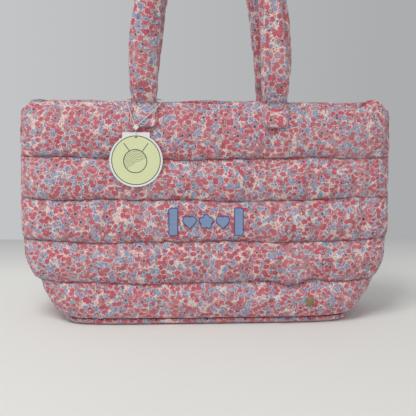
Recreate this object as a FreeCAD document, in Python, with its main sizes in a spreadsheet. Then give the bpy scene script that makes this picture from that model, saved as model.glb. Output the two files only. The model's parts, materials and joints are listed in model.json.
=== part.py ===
import FreeCAD, Part
import math
import os

import Sketcher

# Quilted knitting bag: an open tote with padded walls, a flat base, two padded loop handles and a
# round folded swing tag on a string. Millimetres. The origin is on the floor under the middle of
# the base, +Z is up, the decorated front faces -Y and the bag is widest along X.

App = FreeCAD
V = App.Vector
doc = App.newDocument("knitting_bag")

# ---------------------------------------------------------------- driving dimensions
sheet = doc.addObject("Spreadsheet::Sheet", "sizes")
rows = [0]


def cell(alias, value):
    """Adds one named size to the sheet."""
    rows[0] += 1
    sheet.set("A%d" % rows[0], alias)
    sheet.set("B%d" % rows[0], repr(float(value)))
    sheet.setAlias("B%d" % rows[0], alias)


# cloth, wadding and the air between layers
cell("cover_thick", 0.8)
cell("wadding_depth", 9.2)
cell("lining_thick", 0.7)
cell("layer_gap", 0.15)
cell("stitch_thick", 0.6)
cell("stitch_height", 0.9)
# how far a channel of wadding swells past a line of quilting
cell("swell_out", 1.0)
cell("swell_in", 2.6)
# heights
cell("base_height", 7.0)
cell("wall_foot", 7.5)
cell("lining_top", 240.0)
cell("wall_top", 278.5)
cell("rim_top", 279.5)
# where the handles are sewn on
cell("tab_spacing", 164.0)
cell("tab_width", 34.0)
cell("tab_length", 32.0)
cell("tab_thick", 2.6)
cell("tab_corner", 8.0)
# handle tube
cell("handle_width", 38.0)
cell("handle_depth", 28.0)
cell("handle_foot", 284.0)
cell("handle_leg", 66.0)
cell("handle_arch", 182.0)
cell("handle_offset", 31.0)
# swing tag, its lock and its string
cell("tag_radius", 33.0)
cell("tag_header", 34.0)
cell("tag_rise", 35.0)
cell("tag_paper", 0.4)
cell("tag_parting", 0.4)
cell("tag_hole", 2.6)
cell("tag_hole_drop", 6.0)
cell("tag_middle", -92.0)
cell("tag_top", 243.2)
cell("lock_size", 5.4)
cell("lock_thick", 3.0)
cell("string_thick", 1.2)
# embroidered motif and maker's patch
cell("motif_middle", -4.5)
cell("motif_height", 132.0)
cell("motif_thick", 0.8)
cell("bar_scallop", 4.3)
cell("bar_straight", 2.5)
cell("bar_rise", 16.6)
cell("heart_lobe", 4.6)
cell("petal_radius", 3.4)
cell("outline_margin", 1.1)
cell("patch_width", 10.2)
cell("patch_height", 11.0)
cell("patch_thick", 0.6)
cell("patch_across", 128.0)
cell("patch_up", 30.0)

# Plan sections of the wall: height, half width, half depth, squareness along X and along Y.
# Even rows are lines of quilting, odd rows the middles of the swollen channels.
SECTIONS = [
    (7.5, 185.0, 59.0, 6.0, 6.0),
    (30.0, 209.0, 60.0, 5.2, 5.0),
    (54.0, 225.0, 58.0, 4.4, 4.2),
    (80.0, 235.0, 56.0, 3.9, 3.6),
    (106.0, 239.5, 53.0, 3.4, 3.0),
    (132.0, 240.5, 49.5, 3.1, 2.7),
    (158.0, 240.0, 46.0, 2.9, 2.4),
    (184.0, 239.5, 42.5, 2.7, 2.2),
    (210.0, 239.0, 39.0, 2.6, 2.1),
    (245.0, 238.5, 34.5, 2.5, 2.0),
    (279.5, 238.0, 30.0, 2.5, 2.0),
]
KEYS = ("rise", "half_width", "half_depth", "square_across", "square_deep")
for i, section in enumerate(SECTIONS):
    for key, value in zip(KEYS, section):
        cell("%s_%d" % (key, i), value)
doc.recompute()


def size(alias):
    return float(sheet.get(alias))


LEVELS = [tuple(size("%s_%d" % (key, i)) for key in KEYS) for i in range(len(SECTIONS))]
QUILT_LINES = [level[0] for level in LEVELS[2:9:2]]


# ---------------------------------------------------------------- the wall's shape
def between(height, column):
    """One column of the section table at any height, as a smooth curve through its rows."""
    last = len(LEVELS) - 1
    for i in range(last):
        low, high = LEVELS[i], LEVELS[i + 1]
        if height <= high[0] or i == last - 1:
            span = high[0] - low[0]
            share = (height - low[0]) / span
            before = LEVELS[max(i - 1, 0)]
            after = LEVELS[min(i + 2, last)]
            leave = (high[column] - before[column]) / (high[0] - before[0]) * span
            arrive = (after[column] - low[column]) / (after[0] - low[0]) * span
            rise = high[column] - low[column]
            square = share * share
            cube = square * share
            return (
                low[column]
                + leave * (cube - 2.0 * square + share)
                + rise * (3.0 * square - 2.0 * cube)
                + arrive * (cube - square)
            )


def swell(height):
    """How far the outer cloth stands out from the plain section at a height."""
    heights = [level[0] for level in LEVELS]
    marks = [0.0]
    for i in range(1, len(LEVELS) - 1):
        marks.append(-size("swell_in") if i % 2 == 0 else size("swell_out"))
    marks.append(-0.5)
    for i in range(len(heights) - 1):
        if height <= heights[i + 1]:
            share = (height - heights[i]) / (heights[i + 1] - heights[i])
            blend = 0.5 - 0.5 * math.cos(math.pi * max(0.0, share))
            return marks[i] + blend * (marks[i + 1] - marks[i])
    return marks[-1]


def face_depth(across, height, inward):
    """Distance from the middle plane to the wall's skin, inward from its plain section."""
    half_width = between(height, 1) - inward
    half_depth = between(height, 2) - inward
    share = min(1.0, abs(across) / half_width)
    return half_depth * (1.0 - share ** between(height, 3)) ** (1.0 / between(height, 4))


SHARES = (0.0, 0.25, 0.5, 0.7, 0.82, 0.9, 0.95, 0.98, 0.995, 1.0)
STATIONS = [-share for share in reversed(SHARES[1:])] + list(SHARES)


def curve(height, inward, parting):
    """The front half of one plan section, from the left side seam to the right one."""
    half_width = between(height, 1) - inward
    points = []
    for station in STATIONS:
        depth = max(0.0, face_depth(station * half_width, height, inward) - parting)
        points.append(V(station * half_width, -parting - depth, height))
    return points


def spline(points, knots):
    line = Part.BSplineCurve()
    line.interpolate(Points=points, Parameters=knots)
    return line.toShape()


def chord_knots(points):
    """Parameters in step with the distance along a mean section, shared by every section."""
    total = [0.0]
    for a, b in zip(points, points[1:]):
        total.append(total[-1] + (b - a).Length)
    return [value / total[-1] for value in total]


KNOTS = chord_knots(curve(150.0, 0.0, 0.2))


def layer(outer, inner, heights):
    """A front wall layer between two inward distances, each a function of height."""
    wires = []
    for height in heights:
        out = curve(height, outer(height), 0.2)
        inn = curve(height, inner(height), 0.2)
        edges = [spline(out, KNOTS), Part.makeLine(out[-1], inn[-1])]
        edges += [spline(inn, KNOTS), Part.makeLine(inn[0], out[0])]
        wires.append(Part.Wire(Part.__sortEdges__(edges)))
    return Part.makeLoft(wires, True, False)


def heights_between(low, high):
    """Section heights for a layer, about 13 mm apart and with one on each line of quilting."""
    stops = [low] + [line for line in QUILT_LINES if low < line < high] + [high]
    heights = []
    for start, end in zip(stops, stops[1:]):
        steps = max(1, round((end - start) / 13.0))
        heights += [start + (end - start) * i / steps for i in range(steps)]
    return heights + [high]


def plain(inward):
    return lambda height: inward


def following(inward):
    return lambda height: inward - swell(height)


# ---------------------------------------------------------------- helpers for sub-parts
parts = []


def keep(thing, name):
    thing.Label = name
    parts.append(thing)
    return thing


def shaped(name, shape, turned=False):
    """A soft piece whose shape is lofted. The back wall's pieces are the front's, turned round."""
    thing = doc.addObject("Part::Feature", name)
    thing.Shape = shape
    if turned:
        thing.Placement = App.Placement(V(0, 0, 0), App.Rotation(V(0, 0, 1), 180))
    return keep(thing, name)


def body(name, position, tilt=0.0, turned=False):
    """A PartDesign body that stands at a place, leaning by tilt about X."""
    thing = doc.addObject("PartDesign::Body", name)
    lean = App.Rotation(V(1, 0, 0), tilt)
    face = App.Rotation(V(0, 0, 1), 180 if turned else 0)
    thing.Placement = App.Placement(position, face.multiply(lean))
    return keep(thing, name)


def sketch(owner, name, plane):
    drawing = owner.newObject("Sketcher::SketchObject", name)
    for feature in owner.Origin.OriginFeatures:
        if feature.Role == plane:
            drawing.AttachmentSupport = (feature, "")
    drawing.MapMode = "FlatFace"
    return drawing


def polygon(drawing, corners):
    """Closed straight outline; returns the first line's index."""
    first = drawing.GeometryCount
    ends = corners[1:] + corners[:1]
    for a, b in zip(corners, ends):
        drawing.addGeometry(Part.LineSegment(V(a[0], a[1], 0), V(b[0], b[1], 0)))
    count = len(corners)
    for i in range(count):
        following_line = first + (i + 1) % count
        drawing.addConstraint(Sketcher.Constraint("Coincident", first + i, 2, following_line, 1))
    return first


def named(drawing, constraint, expression):
    """Adds a dimension to a sketch and ties it to the sheet."""
    index = drawing.addConstraint(constraint)
    drawing.setExpression("Constraints[%d]" % index, expression)


def pad(owner, name, drawing, expression, offset=None):
    feature = owner.newObject("PartDesign::Pad", name)
    feature.Profile = drawing
    feature.Length = 1.0
    feature.setExpression("Length", expression)
    drawing.Visibility = False
    if offset is not None:
        drawing.AttachmentOffset = App.Placement(V(0, 0, offset), App.Rotation())
    return feature


# ---------------------------------------------------------------- base
def base_slab(low, high, inset_low, inset_high, round_share=0.0):
    """Flat slab with the base's plan; its lower edge may be rounded in."""
    levels = [(low, inset_low + 9.0 * round_share), (low + 2.2, inset_low + 2.4 * round_share)]
    levels.append((high, inset_high))
    if not round_share:
        levels = [(low, inset_low), (high, inset_high)]
    wires = []
    for height, inset in levels:
        half = [V(p.x, p.y, height) for p in curve(size("wall_foot"), inset, 0.0)]
        other = [V(-p.x, -p.y, height) for p in half]
        edges = [spline(half, KNOTS), spline(other, KNOTS)]
        wires.append(Part.Wire(edges))
    return Part.makeLoft(wires, True, False)


cover = size("cover_thick")
gap = size("layer_gap")
tray = base_slab(0.0, size("base_height"), 0.0, 0.0, 1.0)
hollow = base_slab(cover, size("base_height") + 0.5, cover, cover, 1.0)
shaped("base_panel", tray.cut(hollow))
shaped("base_wadding", base_slab(cover + gap, size("base_height") - 0.2, 1.4, 1.4, 1.0))
lining_low = size("base_height") + 0.1
shaped("base_lining", base_slab(lining_low, lining_low + size("lining_thick"), 13.5, 13.5))

# ---------------------------------------------------------------- walls
wadding_out = cover + gap
wadding_in = wadding_out + size("wadding_depth")
lining_out = wadding_in + gap
lining_in = lining_out + size("lining_thick")
foot = size("wall_foot")
top = size("wall_top")
rim = size("rim_top")


def quilting():
    """One thin raised thread along each line of quilting, from seam to seam."""
    threads = []
    half = size("stitch_height") / 2.0
    for line in QUILT_LINES:
        out = following(-gap - size("stitch_thick"))
        inn = following(-gap)
        threads.append(layer(plain(out(line)), plain(inn(line)), [line - half, line + half]))
    return Part.makeCompound(threads)


def facing():
    """Cover cloth turned over the rim and sewn down inside the mouth."""
    low = size("lining_top") + gap
    under = top + gap
    block = layer(plain(0.6), plain(lining_in), [low, (low + rim) / 2.0, rim])
    room = layer(plain(-3.0), plain(lining_out), [low - 3.0, (low + under) / 2.0, under])
    for_sides = Part.makeBox(600.0, 0.2, 60.0, V(-300.0, -0.2, low - 5.0))
    return block.cut(room.fuse(for_sides))


panel_shape = layer(following(0.0), following(cover), heights_between(foot, top))
wadding_shape = layer(following(wadding_out), plain(wadding_in), heights_between(foot, top))
lining_heights = heights_between(foot, size("lining_top"))
lining_shape = layer(plain(lining_out), plain(lining_in), lining_heights)
quilting_shape = quilting()
facing_shape = facing()
for side, turned in (("front", False), ("back", True)):
    shaped(side + "_panel", panel_shape, turned)
    shaped(side + "_wadding", wadding_shape, turned)
    shaped(side + "_lining", lining_shape, turned)
    shaped(side + "_rim_facing", facing_shape, turned)
    shaped(side + "_quilt_stitching", quilting_shape, turned)

# ---------------------------------------------------------------- handle tabs
half_spacing = size("tab_spacing") / 2.0
tab_low = rim - size("tab_length")
skin_high = face_depth(half_spacing, rim, -swell(rim))
skin_low = face_depth(half_spacing, tab_low, -swell(tab_low))
tab_lean = math.degrees(math.atan2(skin_low - skin_high, size("tab_length")))
tab_stand = max(skin_high, skin_low - math.tan(math.radians(tab_lean)) * size("tab_length")) + 0.7
side_edge = tab_stand / math.cos(math.radians(tab_lean))


def tab_outline(drawing, margin):
    """Strap end: square at the rim, round at its two lower corners."""
    half = size("tab_width") / 2.0 - margin
    low = -size("tab_length") + margin
    corner = size("tab_corner") - margin
    start = drawing.GeometryCount
    lines = [
        ((-half, 0), (-half, low + corner)),
        ((-half + corner, low), (half - corner, low)),
        ((half, low + corner), (half, 0)),
        ((half, 0), (-half, 0)),
    ]
    for a, b in lines:
        drawing.addGeometry(Part.LineSegment(V(a[0], a[1], 0), V(b[0], b[1], 0)))
    middle = (half - corner, low + corner)
    for sign, begin, end in ((-1, math.pi, 1.5 * math.pi), (1, 1.5 * math.pi, 2 * math.pi)):
        centre = V(sign * middle[0], middle[1], 0)
        circle = Part.Circle(centre, V(0, 0, 1), corner)
        drawing.addGeometry(Part.ArcOfCircle(circle, begin, end))
    return start


def tab(name, x, turned):
    position = V(x, (1 if turned else -1) * side_edge, rim)
    owner = body(name, position, tab_lean * -1.0, turned)
    drawing = sketch(owner, name + "_outline", "XZ_Plane")
    tab_outline(drawing, 0.0)
    named(drawing, Sketcher.Constraint("DistanceX", 3, 2, 3, 1, 34.0), "sizes.tab_width")
    named(drawing, Sketcher.Constraint("Radius", 4, 8.0), "sizes.tab_corner")
    pad(owner, name + "_pad", drawing, "sizes.tab_thick")
    return owner


def tab_threads(name, turned):
    """Two rows of stitches that hold the strap ends down, just inside their edges."""
    loops = []
    thick = size("stitch_thick")
    for x in (-half_spacing, half_spacing):
        half = size("tab_width") / 2.0 - 3.0
        low = -size("tab_length") + 3.0
        outer = Part.makeBox(2 * half, thick, -low - 2.0, V(-half, 0, low))
        inner = Part.makeBox(2 * half - 1.4, thick, -low - 2.0, V(-half + 0.7, 0, low + 0.7))
        loop = outer.cut(inner)
        loop.translate(V(0, -size("tab_thick") - thick - 0.1, 0))
        loop.rotate(V(0, 0, 0), V(1, 0, 0), -tab_lean)
        loop.translate(V(x, -side_edge, rim))
        loops.append(loop)
    return shaped(name, Part.makeCompound(loops), turned)


for side, turned in (("front", False), ("back", True)):
    tab(side + "_left_tab", -half_spacing, turned)
    tab(side + "_right_tab", half_spacing, turned)
    tab_threads(side + "_tab_stitching", turned)


# ---------------------------------------------------------------- handles
def handle_path(owner, name, start, stop_short):
    """Two straight legs joined by half an ellipse, drawn in the handle's own upright plane."""
    path = sketch(owner, name, "XZ_Plane")
    half = size("tab_spacing") / 2.0
    leg = size("handle_leg")
    ellipse = Part.Ellipse(V(0, leg + size("handle_arch"), 0), V(half, leg, 0), V(0, leg, 0))
    path.addGeometry(Part.LineSegment(V(-half, start, 0), V(-half, leg, 0)))
    path.addGeometry(Part.ArcOfEllipse(ellipse, -math.pi / 2.0, math.pi / 2.0))
    path.addGeometry(Part.LineSegment(V(half, leg, 0), V(half, start, 0)))
    return path


def ring(owner, name, height, shrink):
    """Oval section of the handle at the foot of its left leg."""
    drawing = sketch(owner, name, "XY_Plane")
    drawing.AttachmentOffset = App.Placement(V(0, 0, height), App.Rotation())
    wide = size("handle_width") / 2.0 - shrink
    deep = size("handle_depth") / 2.0 - shrink
    x = -size("tab_spacing") / 2.0
    oval = Part.Ellipse(V(x + wide, 0, 0), V(x, deep, 0), V(x, 0, 0))
    drawing.addGeometry(oval)
    return drawing


def swept(owner, kind, name, profile, path):
    feature = owner.newObject(kind, name)
    feature.Profile = profile
    feature.Spine = path
    feature.Mode = "Frenet"
    return feature


def handle(side, turned):
    place = V(0, (1 if turned else -1) * size("handle_offset"), size("handle_foot"))
    tube = body(side + "_handle_cover", place, 0.0, turned)
    path = handle_path(tube, side + "_cover_path", 0.0, 0.0)
    outside = ring(tube, side + "_cover_outside", 0.0, 0.0)
    swept(tube, "PartDesign::AdditivePipe", side + "_cover_tube", outside, path)
    inside = ring(tube, side + "_cover_inside", 0.0, cover)
    swept(tube, "PartDesign::SubtractivePipe", side + "_cover_bore", inside, path)
    core = body(side + "_handle_wadding", place, 0.0, turned)
    core_path = handle_path(core, side + "_wadding_path", 1.0, 0.0)
    section = ring(core, side + "_wadding_section", 1.0, cover + gap)
    swept(core, "PartDesign::AdditivePipe", side + "_wadding_core", section, core_path)


handle("front", False)
handle("back", True)

# ---------------------------------------------------------------- embroidered motif
motif_x = size("motif_middle")
motif_z = size("motif_height")
lean_low = face_depth(0.0, motif_z - 16.0, -swell(motif_z - 16.0))
lean_high = face_depth(0.0, motif_z + 16.0, -swell(motif_z + 16.0))
motif_lean = math.degrees(math.atan2(lean_low - lean_high, 32.0))
motif_stand = face_depth(0.0, motif_z, -swell(motif_z)) + 0.35
stack = size("bar_scallop")


def disc(name, x, z, radius, thick):
    """Flat round of stitching, its axis along Y, its back on the motif's plane."""
    round_piece = doc.addObject("Part::Cylinder", name)
    round_piece.setExpression("Radius", radius)
    round_piece.setExpression("Height", thick)
    round_piece.Placement = App.Placement(V(x, 0, z), App.Rotation(V(1, 0, 0), 90))
    return round_piece


def block(name, x, z, wide, high, thick, turn=0.0):
    flat = doc.addObject("Part::Box", name)
    flat.setExpression("Length", wide)
    flat.setExpression("Width", thick)
    flat.setExpression("Height", high)
    doc.recompute()
    spin = App.Rotation(V(0, 1, 0), turn)
    corner = V(-flat.Length.Value / 2.0, -flat.Width.Value, -flat.Height.Value / 2.0)
    flat.Placement = App.Placement(V(x, 0, z).add(spin.multVec(corner)), spin)
    return flat


def scalloped_bar(name, x, grow, thick):
    """Column with a straight inner side, and five rounds that scallop its outer side."""
    outer = math.copysign(1.0, x)
    pieces = []
    for i in range(5):
        z = (i - 2) * stack * 1.45
        pieces.append(disc("%s_%d" % (name, i), x + 0.9 * outer, z, "sizes.bar_scallop" + grow, thick))
    wide = "2 * (sizes.bar_straight%s)" % grow
    high = "2 * (sizes.bar_rise%s)" % grow
    pieces.append(block(name + "_side", x - 2.6 * outer, 0.0, wide, high, thick))
    return pieces


def heart(name, x, z, grow, thick):
    """Two lobes over a square stood on its corner."""
    lobe = size("heart_lobe")
    shift = lobe / math.sqrt(2.0)
    pieces = [
        disc(name + "_lobe_left", x - shift, z + shift, "sizes.heart_lobe" + grow, thick),
        disc(name + "_lobe_right", x + shift, z + shift, "sizes.heart_lobe" + grow, thick),
    ]
    edge = "2 * (sizes.heart_lobe%s)" % grow
    pieces.append(block(name + "_point", x, z, edge, edge, thick, 45.0))
    return pieces


def flower(name, x, z, grow, thick):
    """Five petals round a middle."""
    pieces = []
    petal = size("petal_radius")
    for i in range(5):
        angle = math.radians(90.0 + 72.0 * i)
        px = x + 1.5 * petal * math.cos(angle)
        pz = z + 1.5 * petal * math.sin(angle)
        pieces.append(disc("%s_petal_%d" % (name, i), px, pz, "sizes.petal_radius" + grow, thick))
    pieces.append(disc(name + "_middle", x, z, "sizes.petal_radius" + grow, thick))
    return pieces


def joined(name, pieces):
    united = doc.addObject("Part::MultiFuse", name)
    united.Shapes = pieces
    return united


def motif_layer(name, groups, rise):
    """Gathers fused shapes into one node that lies on the swollen third channel."""
    gather = doc.addObject("Part::Compound", name)
    gather.Links = groups
    turn = App.Rotation(V(1, 0, 0), -motif_lean)
    stand = V(motif_x, -motif_stand, motif_z).add(turn.multVec(V(0, -rise, 0)))
    gather.Placement = App.Placement(stand, turn)
    return keep(gather, name)


HEARTS = ((-21.0, -1.5), (21.0, -1.5))
BARS = (-41.5, 41.5)
fill = "sizes.motif_thick"
edging = "sizes.stitch_thick"
wider = " + sizes.outline_margin"
outline = []
for i, x in enumerate(BARS):
    outline.append(joined("bar_edge_%d" % i, scalloped_bar("bar_edge_round_%d" % i, x, wider, edging)))
for i, (x, z) in enumerate(HEARTS):
    outline.append(joined("heart_edge_%d" % i, heart("heart_edge_piece_%d" % i, x, z, wider, edging)))
outline.append(joined("flower_edge", flower("flower_edge_piece", 0.0, 0.0, wider, edging)))
motif_layer("motif_outline", outline, 0.0)
rise = size("stitch_thick") + 0.1
bars = [joined("bar_%d" % i, scalloped_bar("bar_round_%d" % i, x, "", fill)) for i, x in enumerate(BARS)]
motif_layer("motif_bars", bars, rise)
hearts = [
    joined("heart_%d" % i, heart("heart_piece_%d" % i, x, z, "", fill)) for i, (x, z) in enumerate(HEARTS)
]
motif_layer("motif_hearts", hearts, rise)
motif_layer("motif_flower", [joined("flower", flower("flower_piece", 0.0, 0.0, "", fill))], rise)
links = []
for i, x in enumerate((-31.8, -10.8, 10.8, 31.8)):
    links.append(block("link_%d" % i, x, -8.5, "2.4", "sizes.stitch_height", edging))
motif_layer("motif_stitches", links, 0.0)

# ---------------------------------------------------------------- maker's patch
patch_x = size("patch_across")
patch_z = size("patch_up")
patch_y = -face_depth(patch_x, patch_z, -swell(patch_z)) - 0.3
patch = body("label_patch", V(patch_x, patch_y, patch_z))
patch_sketch = sketch(patch, "patch_outline", "XZ_Plane")
first = polygon(patch_sketch, [(-5.1, -5.5), (5.1, -5.5), (5.1, 5.5), (-5.1, 5.5)])
patch_sketch.addConstraint(Sketcher.Constraint("Horizontal", first))
patch_sketch.addConstraint(Sketcher.Constraint("Vertical", first + 1))
patch_sketch.addConstraint(Sketcher.Constraint("Horizontal", first + 2))
patch_sketch.addConstraint(Sketcher.Constraint("Symmetric", first, 1, first + 1, 2, -1, 1))
named(patch_sketch, Sketcher.Constraint("DistanceX", first, 1, first, 2, 10.2), "sizes.patch_width")
named(patch_sketch, Sketcher.Constraint("DistanceY", first + 1, 1, first + 1, 2, 11.0), "sizes.patch_height")
pad(patch, "patch_pad", patch_sketch, "sizes.patch_thick")

# ---------------------------------------------------------------- swing tag
# It hangs clear of the strap end that its lock lies against, and leans with the swollen wall.
tag_x = size("tag_middle")
tag_z = size("tag_top")
tab_face = side_edge + size("tab_length") * math.sin(math.radians(tab_lean)) + size("tab_thick")
lock_back = -tab_face - 0.4
tag_mid = size("tag_paper") + size("tag_parting") / 2.0
tag_y = lock_back - size("lock_thick") / 2.0 + tag_mid
swing_low = face_depth(tag_x, 184.0, -swell(184.0)) + 2.4
tag_lean = math.degrees(math.atan2(swing_low + tag_y, tag_z - 184.0))


def tag_leaf(name, forward):
    """One leaf of the folded card: a round below a square header, punched for the string."""
    lean = App.Rotation(V(1, 0, 0), -tag_lean)
    place = V(tag_x, tag_y, tag_z).add(lean.multVec(V(0, -forward, 0)))
    leaf = body(name, place, -tag_lean)
    drawing = sketch(leaf, name + "_outline", "XZ_Plane")
    radius = size("tag_radius")
    half = size("tag_header") / 2.0
    drop = -size("tag_rise")
    shoulder = drop + math.sqrt(radius * radius - half * half)
    angle = math.acos(half / radius)
    circle = Part.Circle(V(0, drop, 0), V(0, 0, 1), radius)
    drawing.addGeometry(Part.ArcOfCircle(circle, math.pi - angle, 2 * math.pi + angle))
    drawing.addGeometry(Part.LineSegment(V(half, shoulder, 0), V(half, -0.3, 0)))
    drawing.addGeometry(Part.LineSegment(V(half, -0.3, 0), V(-half, -0.3, 0)))
    drawing.addGeometry(Part.LineSegment(V(-half, -0.3, 0), V(-half, shoulder, 0)))
    for a, b in ((0, 1), (1, 2), (2, 3)):
        drawing.addConstraint(Sketcher.Constraint("Coincident", a, 2, b, 1))
    drawing.addConstraint(Sketcher.Constraint("Coincident", 3, 2, 0, 1))
    named(drawing, Sketcher.Constraint("Radius", 0, radius), "sizes.tag_radius")
    pad(leaf, name + "_card", drawing, "sizes.tag_paper")
    doc.recompute()
    punch = sketch(leaf, name + "_punch", "XZ_Plane")
    punch.addGeometry(Part.Circle(V(0, -size("tag_hole_drop"), 0), V(0, 0, 1), 1.3))
    named(punch, Sketcher.Constraint("Diameter", 0, 2.6), "sizes.tag_hole")
    hole = leaf.newObject("PartDesign::Pocket", name + "_hole")
    hole.Profile = punch
    hole.Type = 1
    hole.Midplane = True
    punch.Visibility = False
    return leaf


tag_leaf("tag_back_leaf", 0.0)
tag_leaf("tag_front_leaf", size("tag_paper") + size("tag_parting"))

# the lock that pinches the string: a small rounded square stood on its corner
lean = App.Rotation(V(1, 0, 0), -tag_lean)
pivot = V(tag_x, tag_y, tag_z).add(lean.multVec(V(0, -tag_mid, 2.0)))
lock_half = size("lock_size") / math.sqrt(2.0)
lock = body("tag_string_lock", V(tag_x, lock_back, pivot.z + 0.5 + lock_half))
lock_sketch = sketch(lock, "lock_outline", "XZ_Plane")
first = polygon(lock_sketch, [(0, -lock_half), (lock_half, 0), (0, lock_half), (-lock_half, 0)])
named(lock_sketch, Sketcher.Constraint("Distance", first, 5.4), "sizes.lock_size")
pad(lock, "lock_pad", lock_sketch, "sizes.lock_thick")


# ---------------------------------------------------------------- string
def rounded_route(points, name):
    """Straight runs joined by tangent arcs, each as large as its two runs allow."""
    edges = []
    last = points[0]
    radii = []
    for a, b, c in zip(points, points[1:], points[2:]):
        into = (b - a).normalize()
        away = (c - b).normalize()
        turn = into.getAngle(away)
        run = min((b - a).Length, (c - b).Length)
        cut = 0.45 * run
        radii.append(cut / math.tan(turn / 2.0))
        start = b - into * cut
        end = b + away * cut
        inward = (away - into).normalize()
        middle = b + inward * (radii[-1] / math.cos(turn / 2.0) - radii[-1])
        edges.append(Part.LineSegment(last, start).toShape())
        edges.append(Part.Arc(start, middle, end).toShape())
        last = end
    edges.append(Part.LineSegment(last, points[-1]).toShape())
    print(name, "radii", [round(r, 1) for r in radii])
    return Part.Wire(edges)


def cord(route, thick):
    section = Part.Circle(route.Edges[0].valueAt(0), route.Edges[0].tangentAt(0), thick / 2.0)
    return route.makePipeShell([Part.Wire([section.toShape()])], True, False)


lock_y = lock_back - size("lock_thick") / 2.0
lock_z = pivot.z + 0.5 + lock_half
inside_leg = half_spacing - size("handle_width") / 2.0
outside_leg = half_spacing + size("handle_width") / 2.0
string_points = [
    V(tag_x - 1.6, lock_y, lock_z + 2.0),
    V(tag_x - 5.6, -37.9, lock_z + 14.0),
    V(-outside_leg - 1.6, -33.8, 279.0),
    V(-outside_leg - 3.2, -24.5, 283.4),
    V(-outside_leg + 4.5, -15.0, 282.2),
    V(-half_spacing, -13.8, 281.8),
    V(-inside_leg - 4.5, -15.0, 282.2),
    V(-inside_leg + 3.2, -24.5, 283.4),
    V(-inside_leg + 2.0, -33.8, 278.6),
    V(-inside_leg - 11.0, -37.6, 266.0),
    V(tag_x + 1.8, lock_y, lock_z + 2.0),
]
string_route = rounded_route(string_points, "tag_string")
string = cord(string_route, size("string_thick"))
shaped("tag_string", string)
expected = math.pi * (size("string_thick") / 2.0) ** 2 * string_route.Length
print("tag_string length %.1f mm, volume share %.4f" % (string_route.Length, string.Volume / expected))

# the doubled end of the string, looped through the card's hole
hole_z = -size("tag_hole_drop")
reach = 1.45
loop_low = hole_z + 0.1
loop_high = 1.0
corners = [V(0, -reach, loop_low + reach), V(0, -reach, loop_high - reach)]
corners += [V(0, reach, loop_high - reach), V(0, reach, loop_low + reach)]
over = Part.Arc(corners[1], V(0, 0, loop_high), corners[2]).toShape()
under = Part.Arc(corners[3], V(0, 0, loop_low), corners[0]).toShape()
rise_edge = Part.makeLine(corners[0], corners[1])
fall_edge = Part.makeLine(corners[2], corners[3])
loop_wire = Part.Wire([rise_edge, over, fall_edge, under])
loop = cord(loop_wire, 0.9)
loop.Placement = App.Placement(V(tag_x, tag_y, tag_z).add(lean.multVec(V(0, -tag_mid, 0))), lean)
shaped("tag_string_end", loop)

# ---------------------------------------------------------------- check and write
doc.recompute()
for thing in doc.Objects:
    if "Invalid" in thing.State or "Error" in thing.State:
        raise RuntimeError("failed: %s %s" % (thing.Label, thing.State))
for thing in parts:
    if thing.Shape.isNull() or not thing.Shape.isValid():
        raise RuntimeError("bad shape: " + thing.Label)
os.makedirs("parts", exist_ok=True)
for thing in parts:
    thing.Shape.exportStep("parts/%s.step" % thing.Label)
print("pivot", [round(v, 3) for v in pivot], "tag lean", round(tag_lean, 2), "tag y", round(tag_y, 3))
print("tab lean", round(tab_lean, 2), "nodes", len(parts))
for thing in parts:
    box = thing.Shape.BoundBox
    spans = (box.XMin, box.XMax, box.YMin, box.YMax, box.ZMin, box.ZMax)
    print("%-24s %s vol %.0f" % (thing.Label, [round(v, 1) for v in spans], thing.Shape.Volume))
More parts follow.
